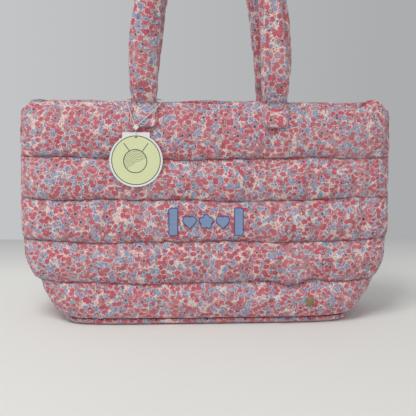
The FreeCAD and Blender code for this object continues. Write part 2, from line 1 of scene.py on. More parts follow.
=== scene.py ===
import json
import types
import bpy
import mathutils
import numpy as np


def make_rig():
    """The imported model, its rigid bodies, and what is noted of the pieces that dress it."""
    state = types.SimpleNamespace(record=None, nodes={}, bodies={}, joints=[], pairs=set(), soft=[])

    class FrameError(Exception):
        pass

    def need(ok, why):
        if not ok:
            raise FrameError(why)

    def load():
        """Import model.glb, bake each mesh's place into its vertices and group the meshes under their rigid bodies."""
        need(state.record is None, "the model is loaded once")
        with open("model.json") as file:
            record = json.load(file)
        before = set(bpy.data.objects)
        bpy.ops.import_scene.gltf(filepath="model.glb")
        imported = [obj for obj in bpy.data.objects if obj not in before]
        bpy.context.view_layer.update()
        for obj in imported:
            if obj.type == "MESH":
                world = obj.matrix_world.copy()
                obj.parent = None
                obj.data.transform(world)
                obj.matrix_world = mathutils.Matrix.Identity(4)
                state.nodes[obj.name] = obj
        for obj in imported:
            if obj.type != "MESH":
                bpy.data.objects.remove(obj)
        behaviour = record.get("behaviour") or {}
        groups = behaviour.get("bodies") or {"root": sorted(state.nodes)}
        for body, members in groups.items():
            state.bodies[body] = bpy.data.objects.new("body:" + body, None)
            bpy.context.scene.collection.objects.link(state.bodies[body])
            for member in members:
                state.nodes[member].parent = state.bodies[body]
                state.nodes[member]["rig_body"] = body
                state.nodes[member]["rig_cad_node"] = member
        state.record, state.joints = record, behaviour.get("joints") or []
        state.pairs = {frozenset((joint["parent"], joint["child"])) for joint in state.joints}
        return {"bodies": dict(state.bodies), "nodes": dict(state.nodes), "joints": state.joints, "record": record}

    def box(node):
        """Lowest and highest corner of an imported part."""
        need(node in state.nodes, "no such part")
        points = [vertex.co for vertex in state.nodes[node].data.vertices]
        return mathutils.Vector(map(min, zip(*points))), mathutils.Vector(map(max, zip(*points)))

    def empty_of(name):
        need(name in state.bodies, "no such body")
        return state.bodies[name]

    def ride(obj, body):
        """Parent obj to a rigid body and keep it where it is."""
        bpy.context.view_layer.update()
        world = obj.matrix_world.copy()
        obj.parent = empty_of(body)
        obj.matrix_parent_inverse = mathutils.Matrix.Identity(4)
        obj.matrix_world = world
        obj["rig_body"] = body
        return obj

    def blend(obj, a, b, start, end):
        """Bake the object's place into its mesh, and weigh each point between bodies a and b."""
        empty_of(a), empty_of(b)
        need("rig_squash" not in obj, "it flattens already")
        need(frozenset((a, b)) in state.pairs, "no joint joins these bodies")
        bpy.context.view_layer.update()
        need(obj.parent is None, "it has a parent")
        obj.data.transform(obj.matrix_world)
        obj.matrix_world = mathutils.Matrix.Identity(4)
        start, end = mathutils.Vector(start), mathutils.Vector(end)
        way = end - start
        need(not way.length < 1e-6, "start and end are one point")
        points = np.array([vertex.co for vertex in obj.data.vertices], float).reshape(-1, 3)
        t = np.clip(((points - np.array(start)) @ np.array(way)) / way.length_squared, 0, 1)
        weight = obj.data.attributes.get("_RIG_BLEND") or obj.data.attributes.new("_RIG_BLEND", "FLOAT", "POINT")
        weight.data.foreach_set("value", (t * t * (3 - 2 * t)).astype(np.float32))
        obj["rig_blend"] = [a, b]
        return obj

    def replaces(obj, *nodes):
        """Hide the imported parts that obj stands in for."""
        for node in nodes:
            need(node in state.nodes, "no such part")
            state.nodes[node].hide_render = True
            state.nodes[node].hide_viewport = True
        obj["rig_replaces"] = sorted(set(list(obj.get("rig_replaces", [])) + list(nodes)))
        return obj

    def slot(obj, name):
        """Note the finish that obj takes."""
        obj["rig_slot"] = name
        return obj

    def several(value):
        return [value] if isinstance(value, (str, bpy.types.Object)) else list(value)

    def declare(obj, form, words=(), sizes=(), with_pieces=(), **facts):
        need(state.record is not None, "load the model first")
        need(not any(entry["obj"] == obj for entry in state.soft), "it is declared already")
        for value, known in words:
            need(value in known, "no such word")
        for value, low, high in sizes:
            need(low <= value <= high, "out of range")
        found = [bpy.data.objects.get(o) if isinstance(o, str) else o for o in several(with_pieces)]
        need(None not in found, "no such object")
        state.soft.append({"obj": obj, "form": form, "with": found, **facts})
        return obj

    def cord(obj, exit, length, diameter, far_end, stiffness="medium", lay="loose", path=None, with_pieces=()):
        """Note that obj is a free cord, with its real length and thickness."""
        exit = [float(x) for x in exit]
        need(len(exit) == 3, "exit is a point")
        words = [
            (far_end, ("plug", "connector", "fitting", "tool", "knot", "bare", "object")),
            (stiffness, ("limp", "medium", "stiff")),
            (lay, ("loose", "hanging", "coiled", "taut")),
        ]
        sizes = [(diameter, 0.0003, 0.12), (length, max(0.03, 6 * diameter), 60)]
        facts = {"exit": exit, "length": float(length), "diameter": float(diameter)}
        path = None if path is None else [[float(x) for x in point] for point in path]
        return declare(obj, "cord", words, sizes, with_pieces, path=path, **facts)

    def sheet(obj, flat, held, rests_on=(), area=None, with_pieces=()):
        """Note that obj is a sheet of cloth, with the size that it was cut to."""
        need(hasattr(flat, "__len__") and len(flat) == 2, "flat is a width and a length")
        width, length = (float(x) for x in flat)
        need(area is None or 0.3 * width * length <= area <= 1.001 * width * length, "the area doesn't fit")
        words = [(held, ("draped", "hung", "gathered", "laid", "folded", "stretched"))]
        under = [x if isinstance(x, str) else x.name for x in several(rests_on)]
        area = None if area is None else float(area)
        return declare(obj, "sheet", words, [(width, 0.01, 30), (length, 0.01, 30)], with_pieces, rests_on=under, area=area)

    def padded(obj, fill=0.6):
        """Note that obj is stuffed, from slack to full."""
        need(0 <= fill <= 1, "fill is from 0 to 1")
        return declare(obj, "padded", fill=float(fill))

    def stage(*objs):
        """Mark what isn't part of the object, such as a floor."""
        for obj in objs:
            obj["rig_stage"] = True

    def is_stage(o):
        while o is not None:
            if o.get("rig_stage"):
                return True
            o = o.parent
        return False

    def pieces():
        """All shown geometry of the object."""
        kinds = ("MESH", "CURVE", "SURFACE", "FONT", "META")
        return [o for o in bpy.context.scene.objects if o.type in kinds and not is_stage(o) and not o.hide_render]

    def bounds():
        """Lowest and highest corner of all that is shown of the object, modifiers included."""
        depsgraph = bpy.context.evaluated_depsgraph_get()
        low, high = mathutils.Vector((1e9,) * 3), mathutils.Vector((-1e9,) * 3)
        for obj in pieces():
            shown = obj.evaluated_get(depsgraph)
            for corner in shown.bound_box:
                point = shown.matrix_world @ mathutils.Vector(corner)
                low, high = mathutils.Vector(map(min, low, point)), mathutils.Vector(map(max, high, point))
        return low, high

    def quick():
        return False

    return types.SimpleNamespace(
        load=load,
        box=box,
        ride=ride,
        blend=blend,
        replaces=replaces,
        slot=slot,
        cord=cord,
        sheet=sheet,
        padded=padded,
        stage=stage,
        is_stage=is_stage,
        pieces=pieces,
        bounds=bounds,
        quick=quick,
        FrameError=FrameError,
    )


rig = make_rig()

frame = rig.load()
packed_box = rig.bounds()

import json
import math

import bpy
import numpy as np
from mathutils import Matrix, Vector
from mathutils.bvhtree import BVHTree

# ---------------------------------------------------------------- studio
# A pale floor that fades to the grey of the room a little way behind the bag, one large soft lamp high on
# the left, a weak one on the right, and the camera a little above the rim, turned slightly to the right.
CAMERA_PLACE = Vector((-0.0706, -1.0067, 0.3172))
CAMERA_YAW, CAMERA_PITCH, CAMERA_ROLL = math.radians(4.08), math.radians(-9.92), math.radians(0.56)
CAMERA_LENS = 67.2
FLOOR_HALF, FLOOR_FRONT, FLOOR_BACK, FLOOR_LINES = 3.0, -2.4, 0.46, 13
FADE_START = 0.20
LAMPS = (  # name, place, aim, size, watts, colour
    ("key_lamp", (-0.70, -0.85, 2.15), (0.0, -0.05, 0.12), 1.0, 24.5, (1.0, 0.995, 0.970)),
    ("fill_lamp", (1.3, -1.8, 0.9), (0.0, 0.0, 0.2), 1.4, 1.5, (0.96, 0.98, 1.0)),
)
ROOM_LEFT, ROOM_RIGHT = -0.24, 0.28


def into_scene(name, data):
    """A new object for a mesh, a curve, a lamp or a camera."""
    thing = bpy.data.objects.new(name, data)
    bpy.context.scene.collection.objects.link(thing)
    return thing


def dye(red, green, blue):
    """A colour as seen on cloth, from 0 to 255, as the linear colour that a shader takes."""
    seen = [c / 255.0 for c in (red, green, blue)]
    return tuple(c / 12.92 if c <= 0.04045 else ((c + 0.055) / 1.055) ** 2.4 for c in seen) + (1.0,)


class Finish:
    """The nodes of one material, added one call at a time."""

    def __init__(self, name, roughness):
        self.material = bpy.data.materials.new(name)
        self.material.use_nodes = True
        self.tree = self.material.node_tree
        self.shader = self.tree.nodes["Principled BSDF"]
        self.coat("Roughness", roughness)

    def coat(self, name, value):
        self.feed(self.shader.inputs[name], value)

    def feed(self, socket, value):
        if isinstance(value, bpy.types.NodeSocket):
            self.tree.links.new(value, socket)
        else:
            socket.default_value = value

    def add(self, kind, settings=(), **inputs):
        node = self.tree.nodes.new("ShaderNode" + kind)
        for key, value in dict(settings).items():
            setattr(node, key, value)
        for key, value in inputs.items():
            self.feed(node.inputs[key.replace("_", " ")], value)
        return node

    def work(self, operation, a, b=0.0, c=0.0, clamp=False):
        node = self.add("Math", {"operation": operation, "use_clamp": clamp})
        for socket, value in zip(node.inputs, (a, b, c)):
            self.feed(socket, value)
        return node.outputs[0]

    def mix(self, share, under, over):
        node = self.add("Mix", {"data_type": "RGBA"})
        for index, value in ((0, share), (6, under), (7, over)):
            self.feed(node.inputs[index], value)
        return node.outputs[2]

    def noise(self, where, scale, detail=3.0):
        return self.add("TexNoise", Vector=where, Scale=scale, Detail=detail).outputs["Fac"]

    def spread(self, value, low, high, to_low=0.0, to_high=1.0):
        node = self.add("MapRange", {"clamp": True}, Value=value)
        for index, number in enumerate((low, high, to_low, to_high)):
            self.feed(node.inputs[index + 1], number)
        return node.outputs[0]

    def relief(self, height, distance, strength=1.0, under=None):
        node = self.add("Bump", Height=height, Distance=distance, Strength=strength)
        if under is not None:
            self.feed(node.inputs["Normal"], under)
        self.coat("Normal", node.outputs[0])
        return node.outputs[0]


def studio_paint():
    paint = Finish("studio_paint", 0.85)
    where = paint.add("TexCoord").outputs["Object"]
    soft = paint.noise(where, 3.0)
    back = paint.add("SeparateXYZ", Vector=where).outputs[1]
    pale = paint.mix(soft, dye(231, 231, 228), dye(236, 236, 232))
    fade = paint.spread(back, FADE_START, FLOOR_BACK)
    paint.coat("Base Color", paint.mix(fade, pale, dye(196, 197, 197)))
    paint.relief(paint.noise(where, 260.0), 0.0002, 0.3)
    return paint.material


def aimed(place, toward):
    """Where a lamp or a camera stands, turned to look along a direction."""
    return Matrix.Translation(place) @ toward.to_track_quat("-Z", "Y").to_matrix().to_4x4()


def make_camera():
    camera = into_scene("camera", bpy.data.cameras.new("camera"))
    camera.data.sensor_width, camera.data.lens = 36.0, CAMERA_LENS
    camera.data.clip_start, camera.data.clip_end = 0.05, 20.0
    level = math.cos(CAMERA_PITCH)
    ahead = Vector((math.sin(CAMERA_YAW) * level, math.cos(CAMERA_YAW) * level, math.sin(CAMERA_PITCH)))
    camera.matrix_world = aimed(CAMERA_PLACE, ahead) @ Matrix.Rotation(CAMERA_ROLL, 4, "Z")
    bpy.context.scene.camera = camera


def make_floor():
    mesh = bpy.data.meshes.new("floor")
    across = np.linspace(-FLOOR_HALF, FLOOR_HALF, FLOOR_LINES)
    points = [(x, y, 0.0) for y in np.linspace(FLOOR_FRONT, FLOOR_BACK, FLOOR_LINES) for x in across]
    corners = [FLOOR_LINES * j + i for j in range(FLOOR_LINES - 1) for i in range(FLOOR_LINES - 1)]
    mesh.from_pydata(points, [], [(k, k + 1, k + 1 + FLOOR_LINES, k + FLOOR_LINES) for k in corners])
    mesh.materials.append(studio_paint())
    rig.stage(into_scene("floor", mesh))


def make_room():
    world = bpy.data.worlds.new("room_light")
    world.use_nodes = True
    room, join = world.node_tree.nodes, world.node_tree.links.new
    toward = room.new("ShaderNodeTexCoord").outputs["Generated"]
    parts, share = room.new("ShaderNodeSeparateXYZ"), room.new("ShaderNodeMapRange")
    share.inputs["From Min"].default_value, share.inputs["From Max"].default_value = ROOM_LEFT, ROOM_RIGHT
    greys = room.new("ShaderNodeMix")
    greys.data_type = "RGBA"
    greys.inputs[6].default_value, greys.inputs[7].default_value = dye(197, 199, 200), dye(172, 173, 174)
    join(toward, parts.inputs[0])
    join(parts.outputs[0], share.inputs["Value"])
    join(share.outputs[0], greys.inputs[0])
    join(greys.outputs[2], room["Background"].inputs["Color"])
    room["Background"].inputs["Strength"].default_value = 1.0
    bpy.context.scene.world = world
    bpy.context.scene.view_settings.view_transform = "Standard"


make_camera()
make_floor()
for name, place, aim, size, watts, colour in LAMPS:
    lamp = into_scene(name, bpy.data.lights.new(name, "AREA"))
    lamp.data.energy, lamp.data.size, lamp.data.color = watts, size, colour
    lamp.matrix_world = aimed(place, Vector(aim) - Vector(place))
make_room()

# ---------------------------------------------------------------- tag string
# Twisted white cotton string, 1.2 mm thick and 140 mm long, looped round the foot of the left front
# handle. Both ends are pinched in the small white lock, which hangs on the tab.
STRING_ROUTE = [
    (-93.6, -39.47, 251.57), (-97.6, -37.9, 263.57), (-102.6, -33.8, 279.0), (-104.2, -24.5, 283.4),
    (-96.5, -15.0, 282.2), (-82.0, -13.8, 281.8), (-67.5, -15.0, 282.2), (-59.8, -24.5, 283.4),
    (-61.0, -33.8, 278.6), (-74.0, -37.6, 266.0), (-90.2, -39.47, 251.57),
]
STRING_THICK, STRING_LENGTH = 0.0012, 0.1403


def string_finish():
    string = Finish("white_string", 0.8)
    string.coat("Sheen Weight", 0.3)
    where = string.add("TexCoord").outputs["UV"]
    twist = string.add("TexWave", {"bands_direction": "DIAGONAL"}, Vector=where, Scale=9.0, Distortion=1.0)
    colour = string.mix(twist.outputs["Fac"], dye(214, 210, 203), dye(246, 245, 241))
    string.coat("Base Color", colour)
    string.relief(twist.outputs["Fac"], 0.0002, 0.6)
    return string.material


white_string = string_finish()
string_curve = bpy.data.curves.new("looped_string", "CURVE")
string_curve.dimensions = "3D"
string_curve.bevel_depth, string_curve.bevel_resolution = STRING_THICK / 2, 4
string_curve.resolution_u = 16
string_line = string_curve.splines.new("NURBS")
string_line.points.add(len(STRING_ROUTE) - 1)
for point, place in zip(string_line.points, STRING_ROUTE):
    point.co = (place[0] / 1000, place[1] / 1000, place[2] / 1000, 1.0)
string_line.order_u = 3
string_line.use_endpoint_u = True
looped_string = into_scene("looped_string", string_curve)
string_curve.materials.append(white_string)
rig.ride(looped_string, "front_wall")
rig.replaces(looped_string, "tag_string")
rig.slot(looped_string, "tag_thread")
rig.cord(looped_string, exit=tuple(c / 1000 for c in STRING_ROUTE[0]), length=STRING_LENGTH,
        diameter=STRING_THICK, far_end="object", stiffness="limp", lay="hanging",
        with_pieces=["tag_string_lock", "tag_string_end"])

# ---------------------------------------------------------------- printed cotton
# Light cotton lawn printed with crowded small flowers on cream: round-petalled crimson and rose flowers,
# lavender clusters, bright blue dots and small leaves. The pattern lies on the flat cloth, in metres.
# Where the cloth lies in a crease the print is darkened: painted shade.
CREAM, PRINT_FINE = dye(238, 226, 216), 1.24
# colour and strength of the painted shade in creases
CREASE_SHADE_COLOUR, CREASE_SHADE_STRENGTH = dye(92, 34, 50), 0.72


def scatter(cloth, where, pitch, seed, turn, wide=1.0, loose=0.85):
    """Flowers spread over the cloth: where each point lies from its nearest flower's middle."""
    placed = cloth.add("Mapping", Vector=where, Location=(seed * 7.3, seed * 3.1, 0.0), Rotation=(0, 0, turn),
                       Scale=(1.0 / pitch, wide / pitch, 1.0)).outputs[0]
    cells = cloth.add("TexVoronoi", {"voronoi_dimensions": "2D"}, Vector=placed, Scale=1.0, Randomness=loose)
    offset = cloth.add("VectorMath", {"operation": "SUBTRACT"})
    cloth.feed(offset.inputs[0], placed)
    cloth.feed(offset.inputs[1], cells.outputs["Position"])
    parts = cloth.add("SeparateXYZ", Vector=offset.outputs[0])
    chance = cloth.add("SeparateColor", Color=cells.outputs["Color"])
    away = cloth.work("MULTIPLY", cells.outputs["Distance"], pitch)
    return away, parts.outputs[0], parts.outputs[1], chance.outputs


def round_the_middle(cloth, across, along, chance):
    """The angle round each flower's middle, each flower turned its own way."""
    return cloth.work("MULTIPLY_ADD", chance, 6.283, cloth.work("ARCTAN2", along, across))


def with_margin(cloth, inside, chance, share, soft, under, cream):
    """Where flowers are printed, and the cloth under them with a cream margin round each."""
    printed = cloth.work("LESS_THAN", chance, share)
    mask = cloth.work("MULTIPLY", cloth.work("MULTIPLY", inside, 1.0 / soft, clamp=True), printed)
    margin = cloth.work("MULTIPLY", cloth.spread(inside, -0.00085, -0.00055), printed)
    return mask, cloth.mix(cloth.work("MULTIPLY", margin, cream), under, CREAM)


def one_of_three(cloth, chance, low, high, tones):
    ink = cloth.mix(cloth.work("GREATER_THAN", chance, low), tones[0], tones[1])
    return cloth.mix(cloth.work("GREATER_THAN", chance, high), ink, tones[2])


def flowers(cloth, where, under, pitch, seed, turn, petals, radius, deep, share, tones, vein, eye, halo,
            wide=1.0, tiers=False):
    """Prints one kind of flower over what is under it, with veins between the petals and a small eye."""
    away, across, along, chance = scatter(cloth, where, pitch, seed, turn, wide)
    angle = round_the_middle(cloth, across, along, chance[0])
    lobe = cloth.work("ABSOLUTE", cloth.work("COSINE", cloth.work("MULTIPLY", angle, petals / 2.0)))
    lobe = cloth.work("POWER", lobe, 0.55)
    size = cloth.spread(chance[1], 0.0, 1.0, radius * 0.84, radius * 1.12)
    edge = cloth.work("MULTIPLY", size, cloth.work("MULTIPLY_ADD", lobe, deep, 1.0 - deep))
    inside = cloth.work("SUBTRACT", edge, away)
    mask, under = with_margin(cloth, inside, chance[2], share, 0.00028, under, 0.9)
    ratio = cloth.work("DIVIDE", away, size)
    petal = cloth.mix(cloth.work("FRACT", cloth.work("MULTIPLY", chance[2], 17.0)), tones[0], tones[1])
    line = cloth.work("MULTIPLY", cloth.spread(lobe, 0.66, 0.34), 0.85)
    rim = cloth.spread(inside, 0.00055, 0.00012, 0.0, 0.55)
    petal = cloth.mix(cloth.work("MAXIMUM", line, rim), petal, vein)
    if tiers:
        inner = cloth.work("SUBTRACT", ratio, cloth.work("MULTIPLY_ADD", lobe, 0.13, 0.46))
        inner = cloth.work("ABSOLUTE", inner)
        petal = cloth.mix(cloth.spread(inner, 0.075, 0.03, 0.0, 0.75), petal, vein)
        gap = cloth.work("MULTIPLY", cloth.spread(ratio, 0.62, 0.70), cloth.spread(lobe, 0.70, 0.40))
        petal = cloth.mix(cloth.work("MULTIPLY", gap, 0.6), petal, dye(226, 200, 198))
    petal = cloth.mix(cloth.spread(ratio, 0.32, 0.26), petal, halo)
    petal = cloth.mix(cloth.spread(ratio, 0.23, 0.16), petal, eye)
    return cloth.mix(mask, under, petal)


def leaves(cloth, where, under, pitch, seed, turn, length, slim, share, tones):
    """Prints small pointed leaves and buds, each turned its own way."""
    away, across, along, chance = scatter(cloth, where, pitch, seed, turn)
    narrow = cloth.work("ABSOLUTE", cloth.work("SINE", round_the_middle(cloth, across, along, chance[0])))
    reach = cloth.work("MULTIPLY_ADD", narrow, -slim, 1.0)
    mask = cloth.work("SUBTRACT", cloth.work("MULTIPLY", reach, length), away)
    mask = cloth.work("MULTIPLY", mask, 1.0 / 0.00022, clamp=True)
    mask = cloth.work("MULTIPLY", mask, cloth.work("LESS_THAN", chance[2], share))
    return cloth.mix(mask, under, one_of_three(cloth, chance[1], 0.55, 0.80, tones))


def clusters(cloth, where, under, pitch, seed, radius, share, tones, gap=0.9):
    """Prints loose four-lobed heads filled with small petals."""
    away, across, along, chance = scatter(cloth, where, pitch, seed, 0.9)
    angle = round_the_middle(cloth, across, along, chance[0])
    lobe = cloth.work("ABSOLUTE", cloth.work("COSINE", cloth.work("MULTIPLY", angle, 2.0)))
    edge = cloth.work("MULTIPLY", cloth.work("MULTIPLY_ADD", lobe, 0.32, 0.68), radius)
    inside = cloth.work("SUBTRACT", edge, away)
    head, under = with_margin(cloth, inside, chance[2], share, 0.0003, under, gap)
    petal, _, _, pick = scatter(cloth, where, 0.0023, seed + 4.0, 0.3, 1.0, 0.7)
    dot = cloth.work("MULTIPLY", cloth.work("SUBTRACT", 0.00118, petal), 1.0 / 0.00022, clamp=True)
    ink = one_of_three(cloth, pick[1], 0.40, 0.84, tones)
    ink = cloth.mix(cloth.work("MULTIPLY_ADD", dot, 0.45, 0.55), tones[3], ink)
    return cloth.mix(head, under, ink)


def weave_of(cloth, where, scale, wobble=0.0):
    """Warp and weft threads that cross."""
    threads = [cloth.add("TexWave", {"bands_direction": d}, Vector=where, Scale=scale, Distortion=wobble)
               for d in ("X", "Y")]
    return cloth.work("MAXIMUM", threads[0].outputs["Fac"], threads[1].outputs["Fac"])


def printed_cotton(name):
    cloth = Finish(name, 0.82)
    cloth.coat("Sheen Weight", 0.12)
    cloth.coat("Sheen Roughness", 0.5)
    flat = cloth.add("UVMap", {"uv_map": "cloth"}).outputs[0]
    where = cloth.add("Mapping", Vector=flat, Scale=(PRINT_FINE, PRINT_FINE, 1.0)).outputs[0]
    colour = cloth.mix(cloth.noise(where, 90.0), CREAM, dye(222, 202, 196))
    colour = leaves(cloth, where, colour, 0.0024, 3.0, 0.4, 0.0013, 0.50, 0.74,
                    (dye(202, 84, 98), dye(208, 144, 150), dye(138, 146, 176)))
    colour = flowers(cloth, where, colour, 0.0150, 1.0, 0.2, 7.0, 0.0092, 0.12, 0.96,
                     (dye(206, 142, 150), dye(194, 126, 138)), dye(166, 92, 108), dye(66, 66, 96),
                     dye(176, 158, 176), tiers=True)
    colour = clusters(cloth, where, colour, 0.0126, 5.0, 0.0058, 0.62,
                      (dye(138, 144, 178), dye(156, 160, 190), dye(112, 120, 162), dye(196, 190, 204)))
    colour = flowers(cloth, where, colour, 0.0104, 2.0, 0.15, 5.0, 0.0055, 0.34, 0.55,
                     (dye(212, 98, 112), dye(200, 82, 100)), dye(164, 62, 82), dye(84, 76, 104),
                     dye(208, 144, 154), wide=1.30)
    colour = leaves(cloth, where, colour, 0.0052, 8.0, 1.1, 0.0019, 0.45, 0.36,
                    (dye(196, 70, 86), dye(208, 104, 116), dye(232, 216, 208)))
    colour = clusters(cloth, where, colour, 0.0102, 7.0, 0.0027, 0.38,
                      (dye(104, 152, 184), dye(126, 168, 194), dye(86, 128, 166), dye(144, 178, 198)),
                      gap=0.3)
    colour = leaves(cloth, where, colour, 0.0080, 9.0, 0.7, 0.0009, 0.15, 0.35,
                    (dye(62, 60, 92), dye(70, 84, 120), dye(72, 62, 92)))
    faded = cloth.noise(where, 14.0, 2.0)
    colour = cloth.mix(cloth.spread(faded, 0.42, 0.75, 0.0, 0.16), colour, dye(226, 208, 206))
    # painted shade: the print is darkened towards a deep crimson by each point's stored crease value
    pinched = cloth.add("Attribute", {"attribute_name": "pinch"}).outputs["Fac"]
    colour = cloth.mix(cloth.work("MULTIPLY", pinched, CREASE_SHADE_STRENGTH), colour, CREASE_SHADE_COLOUR)
    cloth.coat("Base Color", colour)
    cloth.coat("Roughness", cloth.spread(cloth.noise(where, 600.0), 0.3, 0.7, 0.74, 0.9))
    weave = weave_of(cloth, where, 1200.0, 0.6)
    crumple = cloth.relief(cloth.noise(where, 170.0, 4.0), 0.0006, 0.5)
    cloth.relief(weave, 0.00006, 0.5, crumple)
    return cloth.material


floral = printed_cotton("printed_cotton_lawn")

# ---------------------------------------------------------------- front and back walls, outside
# Each wall is one panel of printed cotton over wadding, from side seam to side seam. Four level rows of
# quilting hold it down, and the cloth between them stands up in soft puffs that pucker along the rows.
COLUMNS, CREASE, EASE = 168, 0.0022, 0.065
PRESSURE, STIFFNESS, PUSH_FRAMES = 16.0, 8.0, 22
MOST_OUT, LEAST_OUT, OUT_AT_SEAM = 0.0042, -0.0045, 0.0006
SAG, FULLNESS = 0.72, 1.12
MOTIF_OUT, MOTIF_LEAN = 0.05085, math.radians(7.73)
FOOT, RIM_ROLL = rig.box("front_panel")[0].z, 0.0055
LINE_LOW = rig.box("front_quilt_stitching")[0].z + 0.00045
LINE_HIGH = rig.box("front_quilt_stitching")[1].z - 0.00045
QUILT_LINES = [LINE_LOW + (LINE_HIGH - LINE_LOW) * k / 3 for k in range(4)]
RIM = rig.box("front_rim_facing")[1].z
HALF_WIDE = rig.box("front_panel")[1].x
HALF_DEEP = -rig.box("front_panel")[0].y


def smooth(share):
    share = np.clip(share, 0.0, 1.0)
    return share * share * (3 - 2 * share)


def bump(value, middle, width):
    """A soft hump, 1 at the middle and nearly 0 a width away."""
    return np.exp(-(((value - middle) / width) ** 2) * 2.0)


def surface_of(node):
    mesh = frame["nodes"][node].data
    return BVHTree.FromPolygons([v.co for v in mesh.vertices], [p.vertices for p in mesh.polygons])


def travelled(line):
    """How far along a line of points each of them is."""
    return np.concatenate([[0.0], np.cumsum(np.linalg.norm(np.diff(line, axis=0), axis=1))])


def at_stops(stops, gone, line):
    """Points part-way along a line."""
    return np.stack([np.interp(stops, gone, line[:, c]) for c in range(line.shape[1])], -1)


def trace(tree, side, height, columns, inside=False):
    """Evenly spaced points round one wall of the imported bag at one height, left seam to right seam."""
    found = []
    for angle in np.linspace(0.004, math.pi - 0.004, 260):
        ray = Vector((-math.cos(angle) * HALF_WIDE, side * math.sin(angle) * HALF_DEEP, 0.0))
        middle = Vector((0.0, side * 0.0003, height))
        start, toward = (middle, ray) if inside else (middle + ray * 1.5, -ray)
        hit = tree.ray_cast(start, toward.normalized(), 1.0)[0]
        if hit is not None:
            found.append((hit.x, hit.y))
    found = np.array(found)
    found = np.vstack([[found[0][0], 0.0], found, [found[-1][0], 0.0]])
    gone = travelled(found)
    flat = at_stops(np.linspace(0.0, gone[-1], columns), gone, found)
    return np.column_stack([flat, np.full(columns, height)])


def outward(grid, side):
    """The direction out of the wall at each point of a grid of rows and columns."""
    along = np.gradient(grid, axis=1)
    up = np.gradient(grid, axis=0)
    normal = np.cross(along, up) * (-side)
    return normal / np.maximum(np.linalg.norm(normal, axis=2, keepdims=True), 1e-9)


def mesh_piece(name, points, faces, material, spots=None):
    """A smooth piece, with each face corner's spot on the flat cloth as its UV map."""
    mesh = bpy.data.meshes.new(name)
    mesh.from_pydata(points.tolist(), [], faces)
    mesh.polygons.foreach_set("use_smooth", [True] * len(faces))
    if spots is not None:
        mesh.uv_layers.new(name="cloth").data.foreach_set("uv", np.asarray(spots).ravel())
    mesh.materials.append(material)
    return into_scene(name, mesh)


def grid_quads(grid):
    rows, columns = grid.shape[:2]
    index = np.arange(rows * columns).reshape(rows, columns)
    return np.stack([index[:-1, :-1], index[:-1, 1:], index[1:, 1:], index[1:, :-1]], -1).reshape(-1, 4)


def sheet_mesh(name, grid, flip, uv, material):
    """A mesh over a grid of points, with its place on the flat cloth as its UV map."""
    quads = grid_quads(grid)
    if flip:
        quads = quads[:, ::-1]
    return mesh_piece(name, grid.reshape(-1, 3), quads.tolist(), material, uv.reshape(-1, 2)[quads.ravel()])


def flat_cloth(grid, shift):
    """Each point's place on the flat cloth, measured along the rows and up the middle, in metres."""
    middle = grid.shape[1] // 2
    across = np.concatenate([np.zeros((len(grid), 1)),
                             np.cumsum(np.linalg.norm(np.diff(grid, axis=1), axis=2), axis=1)], 1)
    across -= across[:, middle:middle + 1]
    up = travelled(grid[:, middle])
    return np.stack([across + shift[0], np.repeat(up[:, None], grid.shape[1], 1) + shift[1]], -1)


def points_of(piece):
    places = np.zeros(len(piece.data.vertices) * 3, np.float32)
    piece.data.vertices.foreach_get("co", places)
    return places.reshape(-1, 3).astype(float)


def set_points(piece, points):
    piece.data.vertices.foreach_set("co", np.asarray(points, np.float32).ravel())
    piece.data.update()


def paint_crease_shade(piece, pinch):
    """Stores how much painted shade each point gets, by how deep in a crease it lies; the print reads it as a darker
    colour.
    """
    piece.data.attributes.new("pinch", "FLOAT", "POINT").data.foreach_set("value", pinch.ravel())


def round_off(piece):
    finer = piece.modifiers.new("finer", "SUBSURF")
    finer.levels = finer.render_levels = 1


def blow_up(piece, held, pressure, ease, stiffness):
    """Lets the wadding push the cloth out between its seams, and gives where each point comes to."""
    group = piece.vertex_groups.new(name="held")
    group.add([int(k) for k in np.flatnonzero(held)], 1.0, "REPLACE")
    padding = piece.modifiers.new("padding", "CLOTH")
    settings = padding.settings
    settings.quality = 7
    settings.mass = 0.12
    settings.air_damping = 2.0
    settings.tension_stiffness = settings.compression_stiffness = stiffness
    settings.shear_stiffness = stiffness * 0.4
    settings.bending_stiffness = 0.06
    settings.shrink_min = -ease
    settings.use_pressure = True
    settings.uniform_pressure_force = pressure
    settings.effector_weights.gravity = 0.0
    settings.vertex_group_mass = "held"
    padding.collision_settings.use_collision = False
    padding.point_cache.frame_start, padding.point_cache.frame_end = 1, PUSH_FRAMES
    for number in range(1, PUSH_FRAMES + 1):
        bpy.context.scene.frame_set(number)
    blown = points_of(piece.evaluated_get(bpy.context.evaluated_depsgraph_get()))
    piece.modifiers.remove(padding)
    piece.vertex_groups.remove(group)
    bpy.context.scene.frame_set(1)
    return blown


# bumps and dips along each rim, as height, middle and width
RIM_BUMPS = {
    -1: ((0.0026, -0.198, 0.014), (0.0020, -0.226, 0.012), (-0.0062, 0.196, 0.016), (0.0052, 0.219, 0.013)),
    1: ((0.0024, 0.221, 0.016), (0.0016, -0.221, 0.02)),
}


def rim_lift(x, side):
    """How far the rim stands above its mean height: round corners, and soft bumps and dips."""
    lift = -0.010 * smooth((np.abs(x) - 0.222) / 0.017) ** 1.5
    lift = lift + 0.0010 * np.sin(x * 31.0 + side) + 0.0007 * np.sin(x * 83.0 + 2.0 * side)
    for height, middle, width in RIM_BUMPS[side]:
        lift = lift + height * bump(x, middle, width)
    return lift


def spread_weight(points, seam):
    """1 where cloth moves with its wall, 0 at the side seams and at the base seam."""
    from_side = np.interp(points[:, 2], seam[:, 0], seam[:, 1]) - 0.003 - np.abs(points[:, 0])
    return smooth(from_side / 0.090) * smooth((points[:, 2] - FOOT) / 0.034)


